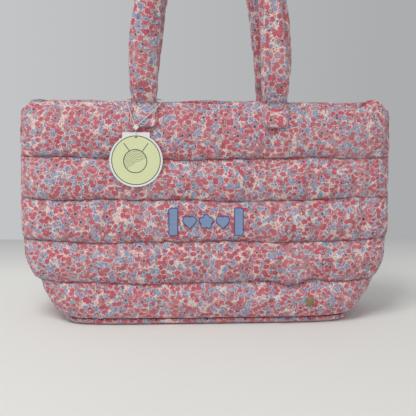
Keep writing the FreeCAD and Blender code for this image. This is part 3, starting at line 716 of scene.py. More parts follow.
def hang(piece, wall, seam):
    """Cloth that stays sewn to the base and to the other wall, and leans out with its own wall
    between."""
    rest = points_of(piece)
    weight = spread_weight(rest, seam)
    laid = 0.5 - np.sin(np.arcsin(np.clip(1 - 2 * weight, -1, 1)) / 3)
    set_points(piece, np.column_stack([laid, np.zeros_like(laid), np.zeros_like(laid)]))
    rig.blend(piece, "base", wall, start=(0, 0, 0), end=(1, 0, 0))
    set_points(piece, rest)


def row_heights():
    """Rows of mesh from the base seam to where the rim turns over, with one on each quilting line."""
    stops = [FOOT, *QUILT_LINES, RIM - RIM_ROLL]
    rows, lines = [FOOT], []
    for low, high in zip(stops, stops[1:]):
        count = max(5, round((high - low) / 0.0036))
        rows += [low + 0.0010, *np.linspace(low + 0.0026, high - 0.0026, count), high - 0.0010, high]
        lines.append(len(rows) - 1)
    return np.array(rows), lines[:-1]


def motif_plane(z):
    """How far out the flattened cloth behind the embroidery lies: just under it, and leaning like it."""
    low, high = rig.box("motif_bars")
    lean = math.tan(MOTIF_LEAN)
    return -(MOTIF_OUT - 0.0003) - ((low.z + high.z) / 2 - z) * lean


# longer folds in the cloth, as runs of (x, z) places and a depth
FOLDS = {
    -1: ((((-0.2375, 0.243), (-0.2270, 0.219), (-0.2110, 0.211)), 0.0016),
         (((-0.2375, 0.181), (-0.2250, 0.164)), 0.0014),
         (((0.2375, 0.254), (0.2330, 0.232), (0.2290, 0.212)), 0.0018),
         (((0.103, 0.0455), (0.1225, 0.0500), (0.140, 0.0580)), 0.0022),
         (((0.060, 0.1060), (0.088, 0.1120), (0.105, 0.1200)), 0.0010),
         (((-0.192, 0.276), (-0.187, 0.262)), 0.0010)),
    1: ((((0.2340, 0.190), (0.2180, 0.168)), 0.0014),
        (((-0.2360, 0.236), (-0.2200, 0.214)), 0.0015),
        (((-0.070, 0.0480), (-0.045, 0.0560)), 0.0016)),
}


def make_cover(side, wall, seed):
    chance = np.random.RandomState(seed)
    tree = surface_of(wall.split("_")[0] + "_panel")
    heights, lines = row_heights()
    skin = np.array([trace(tree, side, min(h, RIM - 0.0012), COLUMNS) for h in heights])
    skin[:, :, 2] = heights[:, None]
    waist = np.where(skin[:, :, 0] < 0, 0.022, 0.012) * bump(skin[:, :, 2], 0.034, 0.034)
    skin[:, :, 0] *= 1 - waist
    channels = list(zip([0, *lines], [*lines, len(heights) - 1]))
    # near the side seams the cloth is drawn tight, so that its edge runs almost straight
    swollen = [0, *[(a + b) // 2 for a, b in channels], len(heights) - 1]
    drawn = np.stack([np.stack([np.interp(heights, heights[swollen], skin[swollen, i, c])
                                for i in range(COLUMNS)], 1) for c in range(3)], -1)
    for _ in range(14):
        drawn[1:-1] = (drawn[:-2] + 2 * drawn[1:-1] + drawn[2:]) / 4
    drawn[:, :, 2] = heights[:, None]
    from_end = np.minimum(np.arange(COLUMNS), np.arange(COLUMNS)[::-1])
    tight = (1 - smooth((from_end - 4) / 16.0))[None, :, None] * 0.95
    skin = skin * (1 - tight) + drawn * tight
    seam = np.column_stack([heights, np.abs(skin[:, 0, 0])])
    x = skin[:, :, 0]
    ends = smooth((from_end + 1) / 20.0)[None, :]
    # the lines of quilting wander a little, and the lowest one sags into a tuck on the right
    above = np.clip((heights - FOOT) / (RIM - FOOT), 0, 1)[:, None]
    wander = 0.0012 * np.sin(x * 23.0 + 9.0 * above + seed) + 0.0007 * np.sin(x * 57.0 + 17.0 * above)
    near_low = bump(heights, QUILT_LINES[0], 0.030)[:, None]
    if side < 0:
        tuck = 0.0058 * bump(x, 0.102, 0.026) * near_low
        wander = wander - tuck + 0.0040 * bump(x, 0.134, 0.018) * near_low
    skin[:, :, 2] += wander * ends * smooth(np.minimum(above, 1 - above) * 8)
    skin[:, :, 2] += rim_lift(x, side) * smooth((heights - 0.235) / 0.04)[:, None]
    normal = outward(skin, side)
    held = np.zeros(skin.shape[:2], bool)
    held[0], held[-1], held[:, 0], held[:, -1] = True, True, True, True
    start = skin - normal * 0.0012 * ends[:, :, None]
    for line in lines:
        held[line] = True
        pull = CREASE * (1.0 + 0.35 * chance.standard_normal(COLUMNS))
        start[line] = skin[line] - normal[line] * (pull * ends[0])[:, None]
    start[0] -= normal[0] * 0.0015
    rough = chance.standard_normal(skin.shape[:2])
    start += normal * (rough * 0.00035 * ends)[:, :, None] * (~held)[:, :, None]
    # the cloth is blown up, then held in, most of all where the tag lies against it and under the rim
    uv = flat_cloth(skin, (0.31 * (side + 1), 0.013))
    piece = sheet_mesh(wall + "_cover", start, side > 0, uv, floral)
    channel = np.zeros(len(heights))
    for low, high in channels:
        inside = slice(low, high + 1)
        share = (heights[inside] - heights[low]) / (heights[high] - heights[low])
        channel[inside] = np.sin(math.pi * share) ** 0.7
    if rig.quick():
        blown = start + normal * (0.0038 * channel ** 0.8)[:, None, None] * ends[:, :, None]
    else:
        blown = blow_up(piece, held.ravel(), PRESSURE, EASE, STIFFNESS).reshape(skin.shape)
    out = ((blown - skin) * normal).sum(-1)
    slide = blown - skin - normal * out[:, :, None]
    most = OUT_AT_SEAM + MOST_OUT * np.repeat(ends, len(heights), 0)
    z = skin[:, :, 2]
    if side < 0:
        tag = smooth(1.35 - np.hypot((x + 0.092) / 0.040, (z - 0.208) / 0.046) * 0.9)
        most = most * (1 - tag) + 0.0004 * tag
    roof = smooth((z - (RIM - 0.030)) / 0.024)
    most = most * (1 - roof) + 0.0010 * roof
    over = np.maximum(out - most * 0.6, 0.0)
    out = np.minimum(out, most * 0.6) + most * 0.4 * (1 - np.exp(-over / np.maximum(most * 0.4, 1e-5)))
    out = np.maximum(out, LEAST_OUT)
    # the wadding sinks a little, so each puff is fullest below its middle
    for low, high in channels:
        share = (heights[low:high + 1] - heights[low]) / (heights[high] - heights[low])
        straight = out[low] * (1 - share[:, None]) + out[high] * share[:, None]
        rise = out[low:high + 1] - straight
        out[low:high + 1] = straight + at_stops(share ** SAG, share, rise) * FULLNESS
    # short gathers beside each row of quilting, and a few longer folds at the ends, with painted shade on the print
    # along each row, just above it where the puff turns under, and along each fold
    pinch = np.zeros(skin.shape[:2])
    for line in lines:
        gather = np.convolve(chance.standard_normal(COLUMNS + 2), (0.3, 0.6, 0.3), "valid")
        far = np.abs(heights - heights[line])[:, None]
        out += 0.0008 * gather * np.exp(-far / 0.005) * ends * (far > 0)
        # painted shade in the crease of each row and under the puff just above it
        pinch = np.maximum(pinch, (0.9 + 0.1 * gather) * np.clip(1.0 - far / 0.0018, 0, 1))
        over = np.maximum(heights - heights[line], 0.0)[:, None]
        pinch = np.maximum(pinch, (0.30 + 0.06 * gather) * np.exp(-over / 0.0045) * (over > 0) * ends)
    for fold, depth in FOLDS[side]:
        near = np.full(skin.shape[:2], 1.0)
        for (ax, az), (bx, bz) in zip(fold, fold[1:]):
            length = (bx - ax) ** 2 + (bz - az) ** 2
            share = np.clip(((x - ax) * (bx - ax) + (z - az) * (bz - az)) / length, 0, 1)
            near = np.minimum(near, np.hypot(x - ax - share * (bx - ax), z - az - share * (bz - az)))
        out -= depth * np.exp(-(near / 0.0024) ** 2) - depth * 0.4 * np.exp(-((near - 0.0065) / 0.003) ** 2)
        # painted shade along each fold
        pinch = np.maximum(pinch, 0.45 * np.exp(-(near / 0.0018) ** 2))
    final = skin + normal * out[:, :, None] + slide * 0.9 * ends[:, :, None]
    if side < 0:  # the quilting is flattened behind the embroidery
        pressed = smooth((0.060 - np.abs(x + 0.0045)) / 0.014) * smooth((0.0245 - np.abs(z - 0.132)) / 0.008)
        flat = motif_plane(final[:, :, 2])
        final[:, :, 1] = final[:, :, 1] * (1 - pressed) + flat * pressed
    # the top turns over in a soft roll
    last, rolled = final[-1], []
    inwards = -normal[-2] * np.array([1, 1, 0])
    for step in range(1, 6):
        angle = math.pi / 2 * step / 5
        ring = last + inwards * RIM_ROLL * (1 - math.cos(angle))
        ring[:, 2] = last[:, 2] + RIM_ROLL * math.sin(angle)
        ring[[0, -1], 1] = 0.0
        rolled.append(ring)
    final = np.concatenate([final, np.array(rolled)])
    bpy.data.objects.remove(piece)
    pinch = np.concatenate([pinch, np.zeros((len(rolled), COLUMNS))])
    uv = flat_cloth(final, (0.31 * (side + 1), 0.013))
    piece = sheet_mesh(wall + "_cover", final, side > 0, uv, floral)
    paint_crease_shade(piece, pinch)
    round_off(piece)
    name = wall.split("_")[0]
    hang(piece, wall, seam)
    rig.replaces(piece, name + "_panel", name + "_wadding")
    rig.slot(piece, "printed_cotton")
    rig.padded(piece, fill=0.45)
    return final, seam, lines


front_skin, seam_line, quilt_rows = make_cover(-1, "front_wall", 11)
back_skin, _, _ = make_cover(1, "back_wall", 29)

# ---------------------------------------------------------------- quilting thread
# Four rows of short machine stitches on each wall, sunk in the creases, in a thread near the print's rose.
STITCH_LONG, STITCH_PITCH, THREAD_THICK = 0.0026, 0.0036, 0.00035


def thread_finish(name, dark, light):
    thread = Finish(name, 0.6)
    thread.coat("Sheen Weight", 0.4)
    where = thread.add("TexCoord").outputs["Object"]
    twist = thread.add("TexWave", {"bands_direction": "DIAGONAL"}, Vector=where, Scale=2600.0, Distortion=1.5)
    thread.coat("Base Color", thread.mix(twist.outputs["Fac"], dark, light))
    thread.relief(twist.outputs["Fac"], 0.0001, 0.5)
    return thread.material


rose_thread = thread_finish("rose_thread", dye(112, 54, 68), dye(162, 98, 110))


def stitches(name, lines, material):
    """Short rounded stitches along several lines of points, with a gap after each."""
    points, faces = [], []
    for line, outs in lines:
        gone = travelled(line)
        count = int(gone[-1] / STITCH_PITCH)
        for k in range(count):
            stops = (k + 0.15) * STITCH_PITCH + np.linspace(0, STITCH_LONG, 4)
            path, out = at_stops(stops, gone, line), at_stops(stops[1], gone, outs)
            along = path[-1] - path[0]
            along /= max(np.linalg.norm(along), 1e-9)
            sideways = np.cross(along, out)
            for step, place in enumerate(path):
                thick = THREAD_THICK * (0.55 if step in (0, 3) else 1.0)
                sunk = 0.0003 if step in (0, 3) else -0.0002
                for turn in range(6):
                    angle = math.tau * turn / 6
                    round_it = (out * math.cos(angle) + sideways * math.sin(angle)) * thick
                    points.append(place + round_it - out * sunk)
            base = len(points) - 24
            for step in range(3):
                for turn in range(6):
                    low, high = base + step * 6, base + step * 6 + 6
                    faces.append((low + turn, low + (turn + 1) % 6, high + (turn + 1) % 6, high + turn))
            faces.append(tuple(base + k for k in range(5, -1, -1)))
            faces.append(tuple(base + 18 + k for k in range(6)))
    return mesh_piece(name, np.array(points), faces, material)


for side, name, skin in ((-1, "front", front_skin), (1, "back", back_skin)):
    outs = outward(skin, side)
    rows = [(skin[row, 2:-2], outs[row, 2:-2]) for row in quilt_rows]
    thread = stitches(name + "_quilt_thread", rows, rose_thread)
    hang(thread, name + "_wall", seam_line)
    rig.replaces(thread, name + "_quilt_stitching")
    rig.slot(thread, "quilting_thread")

# ---------------------------------------------------------------- lining and rim facing
# Plain cream-pink cotton covers the wadding inside, quilted through with the outside. A band of the print
# is turned over the rim and sewn down over the lining's top edge.
FACING_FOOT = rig.box("front_rim_facing")[0].z


def lining_finish():
    plain = Finish("lining_cotton_plain", 0.85)
    plain.coat("Sheen Weight", 0.2)
    where = plain.add("UVMap", {"uv_map": "cloth"}).outputs[0]
    slub = plain.add("Mapping", Vector=where, Scale=(1.0, 7.0, 1.0)).outputs[0]
    shade = plain.mix(plain.noise(slub, 160.0, 4.0), dye(226, 208, 202), dye(240, 226, 220))
    plain.coat("Base Color", shade)
    crumple = plain.relief(plain.noise(where, 60.0, 4.0), 0.0010, 0.5)
    plain.relief(weave_of(plain, where, 1100.0), 0.00006, 0.5, crumple)
    return plain.material


plain_lining = lining_finish()


def cut_size(piece):
    """Width, length and area of a piece's cloth laid flat, without seam allowances, from its own mesh."""
    spots = np.zeros(len(piece.data.loops) * 2, np.float32)
    piece.data.uv_layers["cloth"].data.foreach_get("uv", spots)
    spots = spots.reshape(-1, 2).astype(float)
    area = 0.0
    for face in piece.data.polygons:
        corner = spots[list(face.loop_indices)]
        after = np.roll(corner, -1, 0)
        area += abs((corner[:, 0] * after[:, 1] - corner[:, 1] * after[:, 0]).sum()) / 2
    wide, long = spots.max(0) - spots.min(0)
    return {"flat": (round(float(wide), 3), round(float(long), 3)), "area": round(float(area), 4)}


def make_lining(side, wall, seed):
    name = wall.split("_")[0]
    columns = 112
    tree = surface_of(name + "_lining")
    chance = np.random.RandomState(seed)
    heights = np.linspace(FOOT + 0.0010, FACING_FOOT + 0.0015, 58)
    grid = np.array([trace(tree, side, min(h, FACING_FOOT - 0.002), columns, inside=True) for h in heights])
    grid[:, :, 2] = heights[:, None]
    normal = outward(grid, side)
    ends = np.minimum(1.0, np.minimum(np.arange(columns), np.arange(columns)[::-1]) / 8.0)[None, :]
    stops = [FOOT, *QUILT_LINES, RIM]
    puff = np.zeros(len(heights))
    for low, high in zip(stops, stops[1:]):
        share = np.clip((heights - low) / (high - low), 0, 1)
        puff += np.abs(np.sin(math.pi * share)) ** 0.7 * ((heights >= low) & (heights < high))
    x = grid[:, :, 0]
    ripple = 0.5 + 0.5 * np.sin(x * 170.0 + 2.0 * np.sin(x * 43.0) + seed)
    pucker = (ripple * (1 - puff[:, None]) * 0.0012) + 0.00025 * chance.standard_normal(x.shape)
    grid -= normal * ((0.0022 * puff[:, None] + pucker) * ends)[:, :, None]
    piece = sheet_mesh(wall + "_inside", grid, side < 0, flat_cloth(grid, (0.0, 0.0)), plain_lining)
    hang(piece, wall, seam_line)
    round_off(piece)
    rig.replaces(piece, name + "_lining")
    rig.slot(piece, "lining_cotton")
    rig.sheet(piece, held="stretched", rests_on=[wall + "_cover"], **cut_size(piece))


def make_rim_band(side, wall, seed, cover):
    """The band starts at the rolled top of the cover and goes down inside."""
    name = wall.split("_")[0]
    facing_tree = surface_of(name + "_rim_facing")
    top = cover[-1]
    down = np.linspace(RIM - RIM_ROLL - 0.001, FACING_FOOT, 11)
    inner = np.array([trace(facing_tree, side, min(h, RIM - 0.002), len(top), inside=True) for h in down])
    inner[:, :, 2] = down[:, None] + rim_lift(inner[:, :, 0], side) * smooth((down - 0.235) / 0.04)[:, None]
    roll = []
    for step in range(5):
        angle = math.pi / 2 * step / 5
        ring = top + (inner[0] - top) * math.sin(angle)
        ring[:, 2] = top[:, 2] - (top[:, 2] - inner[0][:, 2]) * (1 - math.cos(angle))
        roll.append(ring)
    band = np.concatenate([np.array(roll), inner])
    wobble = np.sin(band[:, :, 0] * 61.0 + seed) * 0.0006 + np.sin(band[:, :, 0] * 150.0) * 0.0003
    band[5:, 1:-1, 1] += (wobble * side)[5:, 1:-1]
    piece = sheet_mesh(wall + "_rim_band", band, side > 0, flat_cloth(band, (0.9, 0.4)), floral)
    hang(piece, wall, seam_line)
    round_off(piece)
    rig.replaces(piece, name + "_rim_facing")
    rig.slot(piece, "printed_cotton")
    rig.sheet(piece, held="folded", rests_on=[wall + "_cover"], **cut_size(piece))


for side, wall, seed, cover in ((-1, "front_wall", 3, front_skin), (1, "back_wall", 7, back_skin)):
    make_lining(side, wall, seed)
    make_rim_band(side, wall, seed, cover)

# ---------------------------------------------------------------- base
# A flat panel of the same print over wadding, sewn to the walls by a seam that stands just above the
# floor. Its edges turn up in a low rounded welt, and plain lining covers it inside.
BASE_SEAM_RINGS = ((0.0076, 0.0), (0.0070, 0.0007), (0.0058, 0.0016), (0.0042, 0.0020),
                   (0.0026, 0.0014), (0.0013, -0.0004), (0.0005, -0.0032), (0.0002, -0.008))  # height, stand


def base_outline(inset, columns):
    """Points round the base seam, both walls together, drawn in by an inset."""
    front = front_skin[0].copy()
    back = back_skin[0][::-1].copy()
    ring = np.concatenate([front[:-1], back[:-1]])
    closed = np.vstack([ring, ring[:1]])
    gone = travelled(closed)
    ring = at_stops(np.linspace(0.0, gone[-1], columns, endpoint=False), gone, closed)
    along = np.roll(ring, -1, 0) - np.roll(ring, 1, 0)
    out = np.column_stack([along[:, 1], -along[:, 0], np.zeros(len(ring))])
    out /= np.linalg.norm(out, axis=1)[:, None]
    return ring - out * inset, out


def rings_mesh(name, rings, middle, material, uvs):
    """A cup of closed rings with a flat fan at its middle."""
    count = len(rings[0])
    points = np.concatenate([*rings, [middle]])
    faces = []
    for k in range(len(rings) - 1):
        for i in range(count):
            j = (i + 1) % count
            faces.append((k * count + i, k * count + j, (k + 1) * count + j, (k + 1) * count + i))
    last = (len(rings) - 1) * count
    faces += [(last + i, last + (i + 1) % count, len(points) - 1) for i in range(count)]
    return mesh_piece(name, points, faces, material, [uvs[v] for f in faces for v in f])


def make_base():
    columns = 280
    seam, out = base_outline(0.0004, columns)
    ripple = np.sin(np.arange(columns) * 0.71) * 0.5 + np.sin(np.arange(columns) * 1.93 + 1.0) * 0.5
    rings = []
    for height, stand in BASE_SEAM_RINGS:
        ring = seam + out * (stand + 0.00022 * ripple[:, None] * (height > 0.001))
        ring[:, 2] = height
        rings.append(ring)
    for share in (0.85, 0.65, 0.4, 0.2):
        ring = rings[len(BASE_SEAM_RINGS) - 1] * np.array([share, share, 1.0])
        ring[:, 2] = 0.0002 + 0.0006 * (1 - share)
        rings.append(ring)
    middle = np.array([0.0, 0.0, 0.0009])
    points = np.concatenate([*rings, [middle]])
    uvs = points[:, :2] + np.array([0.37, 0.71])
    fold = np.concatenate([np.repeat((r[0, 2] - 0.0002) * 1.3, len(r)) for r in rings] + [[0.0]])
    away = np.concatenate([out] * len(rings) + [np.zeros((1, 3))])
    uvs = uvs + away[:, :2] * fold[:, None]
    piece = rings_mesh("base_cover", rings, middle, floral, uvs)
    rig.ride(piece, "base")
    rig.replaces(piece, "base_panel", "base_wadding")
    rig.slot(piece, "printed_cotton")
    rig.padded(piece, fill=0.5)

    inner = base_outline(0.0105, 160)[0]
    rings = []
    for share, height in ((1.0, 0.0092), (0.97, 0.0084), (0.9, 0.0080), (0.75, 0.0079), (0.5, 0.0080),
                          (0.25, 0.0082)):
        ring = inner * np.array([share, share, 1.0])
        wave = np.sin(ring[:, 0] * 60.0) * np.cos(ring[:, 1] * 70.0) * 0.0005 * (share < 0.95)
        ring[:, 2] = height + wave
        rings.append(ring)
    middle = np.array([0.0, 0.0, 0.0082])
    uvs = np.concatenate([*rings, [middle]])[:, :2]
    piece = rings_mesh("base_inside", rings, middle, plain_lining, uvs)
    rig.ride(piece, "base")
    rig.replaces(piece, "base_lining")
    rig.slot(piece, "lining_cotton")
    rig.sheet(piece, held="laid", rests_on=["base_cover"], **cut_size(piece))


make_base()

# ---------------------------------------------------------------- handles and their tabs
# Each handle is a tube of printed cotton stuffed with wadding. Its ends are pressed flat and sewn on the
# outside below the rim as tabs with round lower corners, so the loop stands up from the rim.
TAB_X = (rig.box("front_right_tab")[0].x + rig.box("front_right_tab")[1].x) / 2
TAB_HALF = (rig.box("front_right_tab")[1].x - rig.box("front_right_tab")[0].x) / 2
TAB_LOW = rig.box("front_right_tab")[0].z
TUBE_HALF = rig.box("front_handle_cover")[1].x - TAB_X
TUBE_DEEP = (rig.box("front_handle_cover")[1].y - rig.box("front_handle_cover")[0].y) / 2
TUBE_Y = -(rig.box("front_handle_cover")[1].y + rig.box("front_handle_cover")[0].y) / 2
ARCH_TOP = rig.box("front_handle_cover")[1].z - TUBE_HALF
ARCH_FOOT, TAB_CORNER, AROUND = 0.322, 0.008, 36
TUBE_START, TUBE_GROWS = 0.2835, 0.030
SEWN_TOP, MOST_MOVE = 0.2885, 0.0045
CREASES = ((5.2, 1.3, 0.125), (13.0, 1.1, 0.145), (20.5, 1.6, 0.10), (30.5, 1.2, 0.11))  # where, drift, depth
TAB_THICK, TAB_STITCH_INSET = 0.0021, 0.0025


def wall_depth(skin, side):
    """Finds how far out the wall's cloth lies at a point of the wall."""
    tree = BVHTree.FromPolygons([Vector(p) for p in skin.reshape(-1, 3)], grid_quads(skin).tolist())

    def depth(x, z):
        hit = tree.ray_cast(Vector((x, side * 0.2, z)), Vector((0, -side, 0)), 1.0)[0]
        return abs(hit.y) if hit is not None else None

    return depth


def make_handle(side, wall, handle, skin, seed):
    chance = np.random.RandomState(seed)
    name = wall.split("_")[0]
    depth = wall_depth(skin, side)
    # the middle line, from one tab over the arch to the other
    line = [(-TAB_X, z) for z in np.linspace(TAB_LOW + 0.0002, ARCH_FOOT, 22)]
    rise = ARCH_TOP - ARCH_FOOT
    for angle in np.linspace(0, math.pi, 121)[1:-1]:
        line.append((-TAB_X * math.cos(angle), ARCH_FOOT + rise * math.sin(angle)))
    line += [(TAB_X, z) for z in np.linspace(ARCH_FOOT, TAB_LOW + 0.0002, 22)]
    line = np.array(line)
    if side > 0:
        line[:, 0] *= 1 - 0.07 * smooth((line[:, 1] - 0.300) / 0.10)
    gone = travelled(line)
    even = np.linspace(0.0, gone[-1], 178)
    line = at_stops(even, gone, line)
    along = np.gradient(line, axis=0)
    along /= np.linalg.norm(along, axis=1)[:, None]
    rings, uvs = [], []
    wall_at = {}
    for k, ((x, z), (ax, az)) in enumerate(zip(line, along)):
        end = min(k, len(line) - 1 - k)
        full = float(smooth((z - TUBE_START) / TUBE_GROWS))
        wide = TAB_HALF + (TUBE_HALF - TAB_HALF) * full - 0.0014 * float(bump(z, 0.286, 0.010))
        wide += 0.0014 * float(bump(z, 0.345, 0.05))
        if z < TAB_LOW + TAB_CORNER:
            drop = TAB_LOW + TAB_CORNER - z
            wide -= TAB_CORNER - math.sqrt(max(TAB_CORNER ** 2 - drop ** 2, 0.0))
        ring = []
        for step in range(AROUND):
            angle = math.tau * step / AROUND
            c, s = math.cos(angle), math.sin(angle)
            squareness = 2.0 / (2.15 + 1.6 * (1 - full))
            lateral = math.copysign(abs(c) ** squareness, c) * wide
            outward_share = math.copysign(abs(s) ** squareness, s)
            px = x + lateral * az
            pz = z - lateral * ax
            tube_y = TUBE_Y + outward_share * TUBE_DEEP
            if full < 1.0:
                key = (round(px, 4), round(min(z, RIM - 0.004), 4))
                if key not in wall_at:
                    wall_at[key] = depth(*key)
                on_wall = wall_at[key] or 0.031
                thick = TAB_THICK if end > 0 else 0.0008
                tab_y = on_wall + TAB_THICK + outward_share * thick
                tab_y -= 0.0016 * float(bump(z, RIM + 0.002, 0.0035))
                if z > RIM - 0.004:
                    tab_y += (z - RIM + 0.004) * 0.05 * outward_share
                y = tab_y * (1 - full) + tube_y * full
            else:
                y = tube_y
            ring.append((px, side * y, pz))
        rings.append(ring)
        uvs.append([(even[k] + 0.2 * seed, TUBE_HALF * 5.4 * step / AROUND) for step in range(AROUND + 1)])
    # a closed tube: the last column meets the first
    count, faces, loops = len(rings), [], []
    points = np.array(rings).reshape(-1, 3)
    for k in range(count - 1):
        for i in range(AROUND):
            j = (i + 1) % AROUND
            quad = [k * AROUND + i, k * AROUND + j, (k + 1) * AROUND + j, (k + 1) * AROUND + i]
            spots = [uvs[k][i], uvs[k][i + 1], uvs[k + 1][i + 1], uvs[k + 1][i]]
            if side < 0:
                quad, spots = quad[::-1], spots[::-1]
            faces.append(quad)
            loops += spots
    for k in (0, count - 1):
        for i in range(AROUND // 2 - 1):
            quad = [k * AROUND + (i + s) % AROUND for s in (0, 1)]
            quad += [k * AROUND + AROUND - 1 - (i + s - 1) if i + s - 1 >= 0 else k * AROUND for s in (1, 0)]
            quad = list(dict.fromkeys(quad))
            if len(quad) > 2:
                faces.append(quad)
                loops += [uvs[k][v % AROUND] for v in quad]
    piece = mesh_piece(handle + "_padded", points, faces, floral, loops)
    column = np.tile(np.arange(AROUND), count)
    height = points[:, 2]
    middle = np.repeat(np.column_stack([line[:, 0], np.full(count, side * TUBE_Y), line[:, 1]]), AROUND, 0)
    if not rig.quick():
        inner_fold = column == 3 * AROUND // 4
        front_fold = (column == int(AROUND * 0.27)) & (height < 0.47)
        held = (height < SEWN_TOP) | inner_fold | front_fold
        free = smooth((height - SEWN_TOP) / 0.02)[:, None]
        outwards = points - middle
        begin = points - outwards * 0.05 * free * (~held)[:, None]
        begin = begin - outwards * (0.17 * inner_fold + 0.12 * front_fold)[:, None] * free
        begin += chance.standard_normal(begin.shape) * 0.0003 * free
        set_points(piece, begin)
        move = blow_up(piece, held, 8.0, 0.018, 10.0) - points
        length = np.linalg.norm(move, axis=1)[:, None]
        points = points + move * np.where(length > MOST_MOVE, MOST_MOVE / np.maximum(length, 1e-9), 1.0)
    # long creases that run up the tube, and the fold where it meets the rim, with painted shade on the print in the
    # creases, at the fold and along the tab's lower edge
    order = np.repeat(np.arange(count), AROUND)
    rising = smooth((height - 0.293) / 0.03)
    # painted shade: a dark band round most of the tube where it folds at the rim, and a dark line along the tab's
    # lower edge
    pinch = 0.85 * bump(height, RIM + 0.0016, 0.0035) * (np.sin(math.tau * column / AROUND) > -0.3)
    pinch = np.maximum(pinch, height < TAB_LOW + 0.0016)
    outwards = points - middle
    for first, drift, deep in CREASES:
        there = first + drift * np.sin(order * 0.09 + first) + 0.5 * np.sin(order * 0.31 + seed)
        near = np.abs((column - there + AROUND / 2) % AROUND - AROUND / 2)
        strength = rising * (0.65 + 0.35 * np.sin(order * 0.14 + 2 * first))
        points = points - outwards * (deep * strength * np.exp(-(near / 1.1) ** 2))[:, None]
        points = points + outwards * (0.03 * strength * np.exp(-((near - 2.6) / 1.2) ** 2))[:, None]
        # painted shade along each crease
        pinch = np.maximum(pinch, 0.6 * strength * np.exp(-(near / 0.7) ** 2))
    set_points(piece, points)
    paint_crease_shade(piece, pinch)
    round_off(piece)
    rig.blend(piece, wall, handle, start=(0, side * 0.03, 0.2700), end=(0, side * 0.03, 0.3080))
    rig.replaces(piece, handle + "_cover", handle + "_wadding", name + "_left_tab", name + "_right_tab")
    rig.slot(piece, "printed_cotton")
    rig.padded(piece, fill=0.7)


def sew_tabs(side, wall, skin):
    """The row of stitches that holds each tab down, 2.5 mm inside its edge."""
    name, depth, rows = wall.split("_")[0], wall_depth(skin, side), []
    half, low, corner = TAB_HALF - TAB_STITCH_INSET, TAB_LOW + TAB_STITCH_INSET, TAB_CORNER - TAB_STITCH_INSET
    for middle_x in (-TAB_X, TAB_X):
        path = [(-half, z) for z in np.linspace(RIM - 0.009, low + corner, 8)]
        for angle in np.linspace(math.pi, 1.5 * math.pi, 7)[1:]:
            path.append((-half + corner + corner * math.cos(angle), low + corner + corner * math.sin(angle)))
        path += [(-px, pz) for px, pz in path[::-1]]
        spots = []
        for px, pz in path:
            on_wall = depth(middle_x + px, pz) or 0.031
            spots.append((middle_x + px, side * (on_wall + 0.0042), pz))
        spots = np.array(spots)
        rows.append((spots, np.tile([0.0, float(side), 0.0], (len(spots), 1))))
    thread = stitches(name + "_tab_thread", rows, rose_thread)
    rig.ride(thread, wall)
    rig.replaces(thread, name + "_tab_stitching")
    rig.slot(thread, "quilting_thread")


for side, wall, handle, skin, seed in ((-1, "front_wall", "front_handle", front_skin, 5),
                                       (1, "back_wall", "back_handle", back_skin, 8)):
    make_handle(side, wall, handle, skin, seed)
    sew_tabs(side, wall, skin)

# ---------------------------------------------------------------- embroidery
# Two upright bars with one scalloped edge, two hearts and a flower in blue satin stitch, edged with a
# purple satin cord and joined by a purple running line, all worked into the middle channel of the front.


def satin_finish(name, dark, light, direction):
    satin = Finish(name, 0.42)
    satin.coat("Sheen Weight", 0.3)
    satin.coat("Anisotropic", 0.4)
    where = satin.add("TexCoord").outputs["Object"]
    rows = satin.add("TexWave", {"bands_direction": direction}, Vector=where, Scale=700.0, Distortion=0.8)
    rows = rows.outputs["Fac"]
    soft = satin.noise(where, 400.0)
    colour = satin.mix(satin.work("MULTIPLY_ADD", soft, 0.5, satin.work("MULTIPLY", rows, 0.5)), dark, light)
    satin.coat("Base Color", colour)
    satin.relief(rows, 0.00025, 0.8)
    return satin.material


def dress(node, material):
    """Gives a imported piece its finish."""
    slots = frame["nodes"][node].data.materials
    slots.clear()
    slots.append(material)


blue_satin = satin_finish("blue_satin_stitch", dye(118, 146, 198), dye(166, 188, 222), "Z")
purple_cord = satin_finish("purple_cord_stitch", dye(78, 66, 132), dye(112, 100, 164), "DIAGONAL")
for node in ("motif_bars", "motif_hearts", "motif_flower"):
    dress(node, blue_satin)
for node in ("motif_outline", "motif_stitches"):
    dress(node, purple_cord)

# ---------------------------------------------------------------- small patch
# A blank scrap of tan leather, about 10 mm across, sewn on near the lower right corner. Its edge lies on
# the cloth and its middle stands a little proud.


def leather_finish():
    tan = Finish("tan_leather", 0.55)
    where = tan.add("TexCoord").outputs["Object"]
    pores = tan.add("TexVoronoi", Vector=where, Scale=2600.0).outputs["Distance"]
    shade = tan.mix(tan.noise(where, 500.0), dye(120, 104, 66), dye(156, 142, 96))
    tan.coat("Base Color", shade)
    tan.coat("Roughness", tan.spread(tan.noise(where, 900.0), 0.3, 0.7, 0.45, 0.7))
    tan.relief(pores, 0.0001, 0.6)
    return tan.material


def make_patch():
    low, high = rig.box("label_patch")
    depth = wall_depth(front_skin, -1)
    steps = 9
    grid = np.zeros((steps, steps, 3))
    for j, z in enumerate(np.linspace(low.z, high.z, steps)):
        for i, x in enumerate(np.linspace(low.x, high.x, steps)):
            edge = min(i, j, steps - 1 - i, steps - 1 - j)
            stand = (0.0004, 0.0015, 0.0017)[min(edge, 2)]
            grid[j, i] = (x, -((depth(x, z) or 0.0600) + stand), z)
    grid[0, 0] = grid[0, 0] * 0.5 + grid[1, 1] * 0.5  # one corner is worn round
    piece = sheet_mesh("tan_patch", grid, False, flat_cloth(grid, (0.0, 0.0)), leather_finish())
    hang(piece, "front_wall", seam_line)
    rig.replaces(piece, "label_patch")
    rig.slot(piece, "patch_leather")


make_patch()

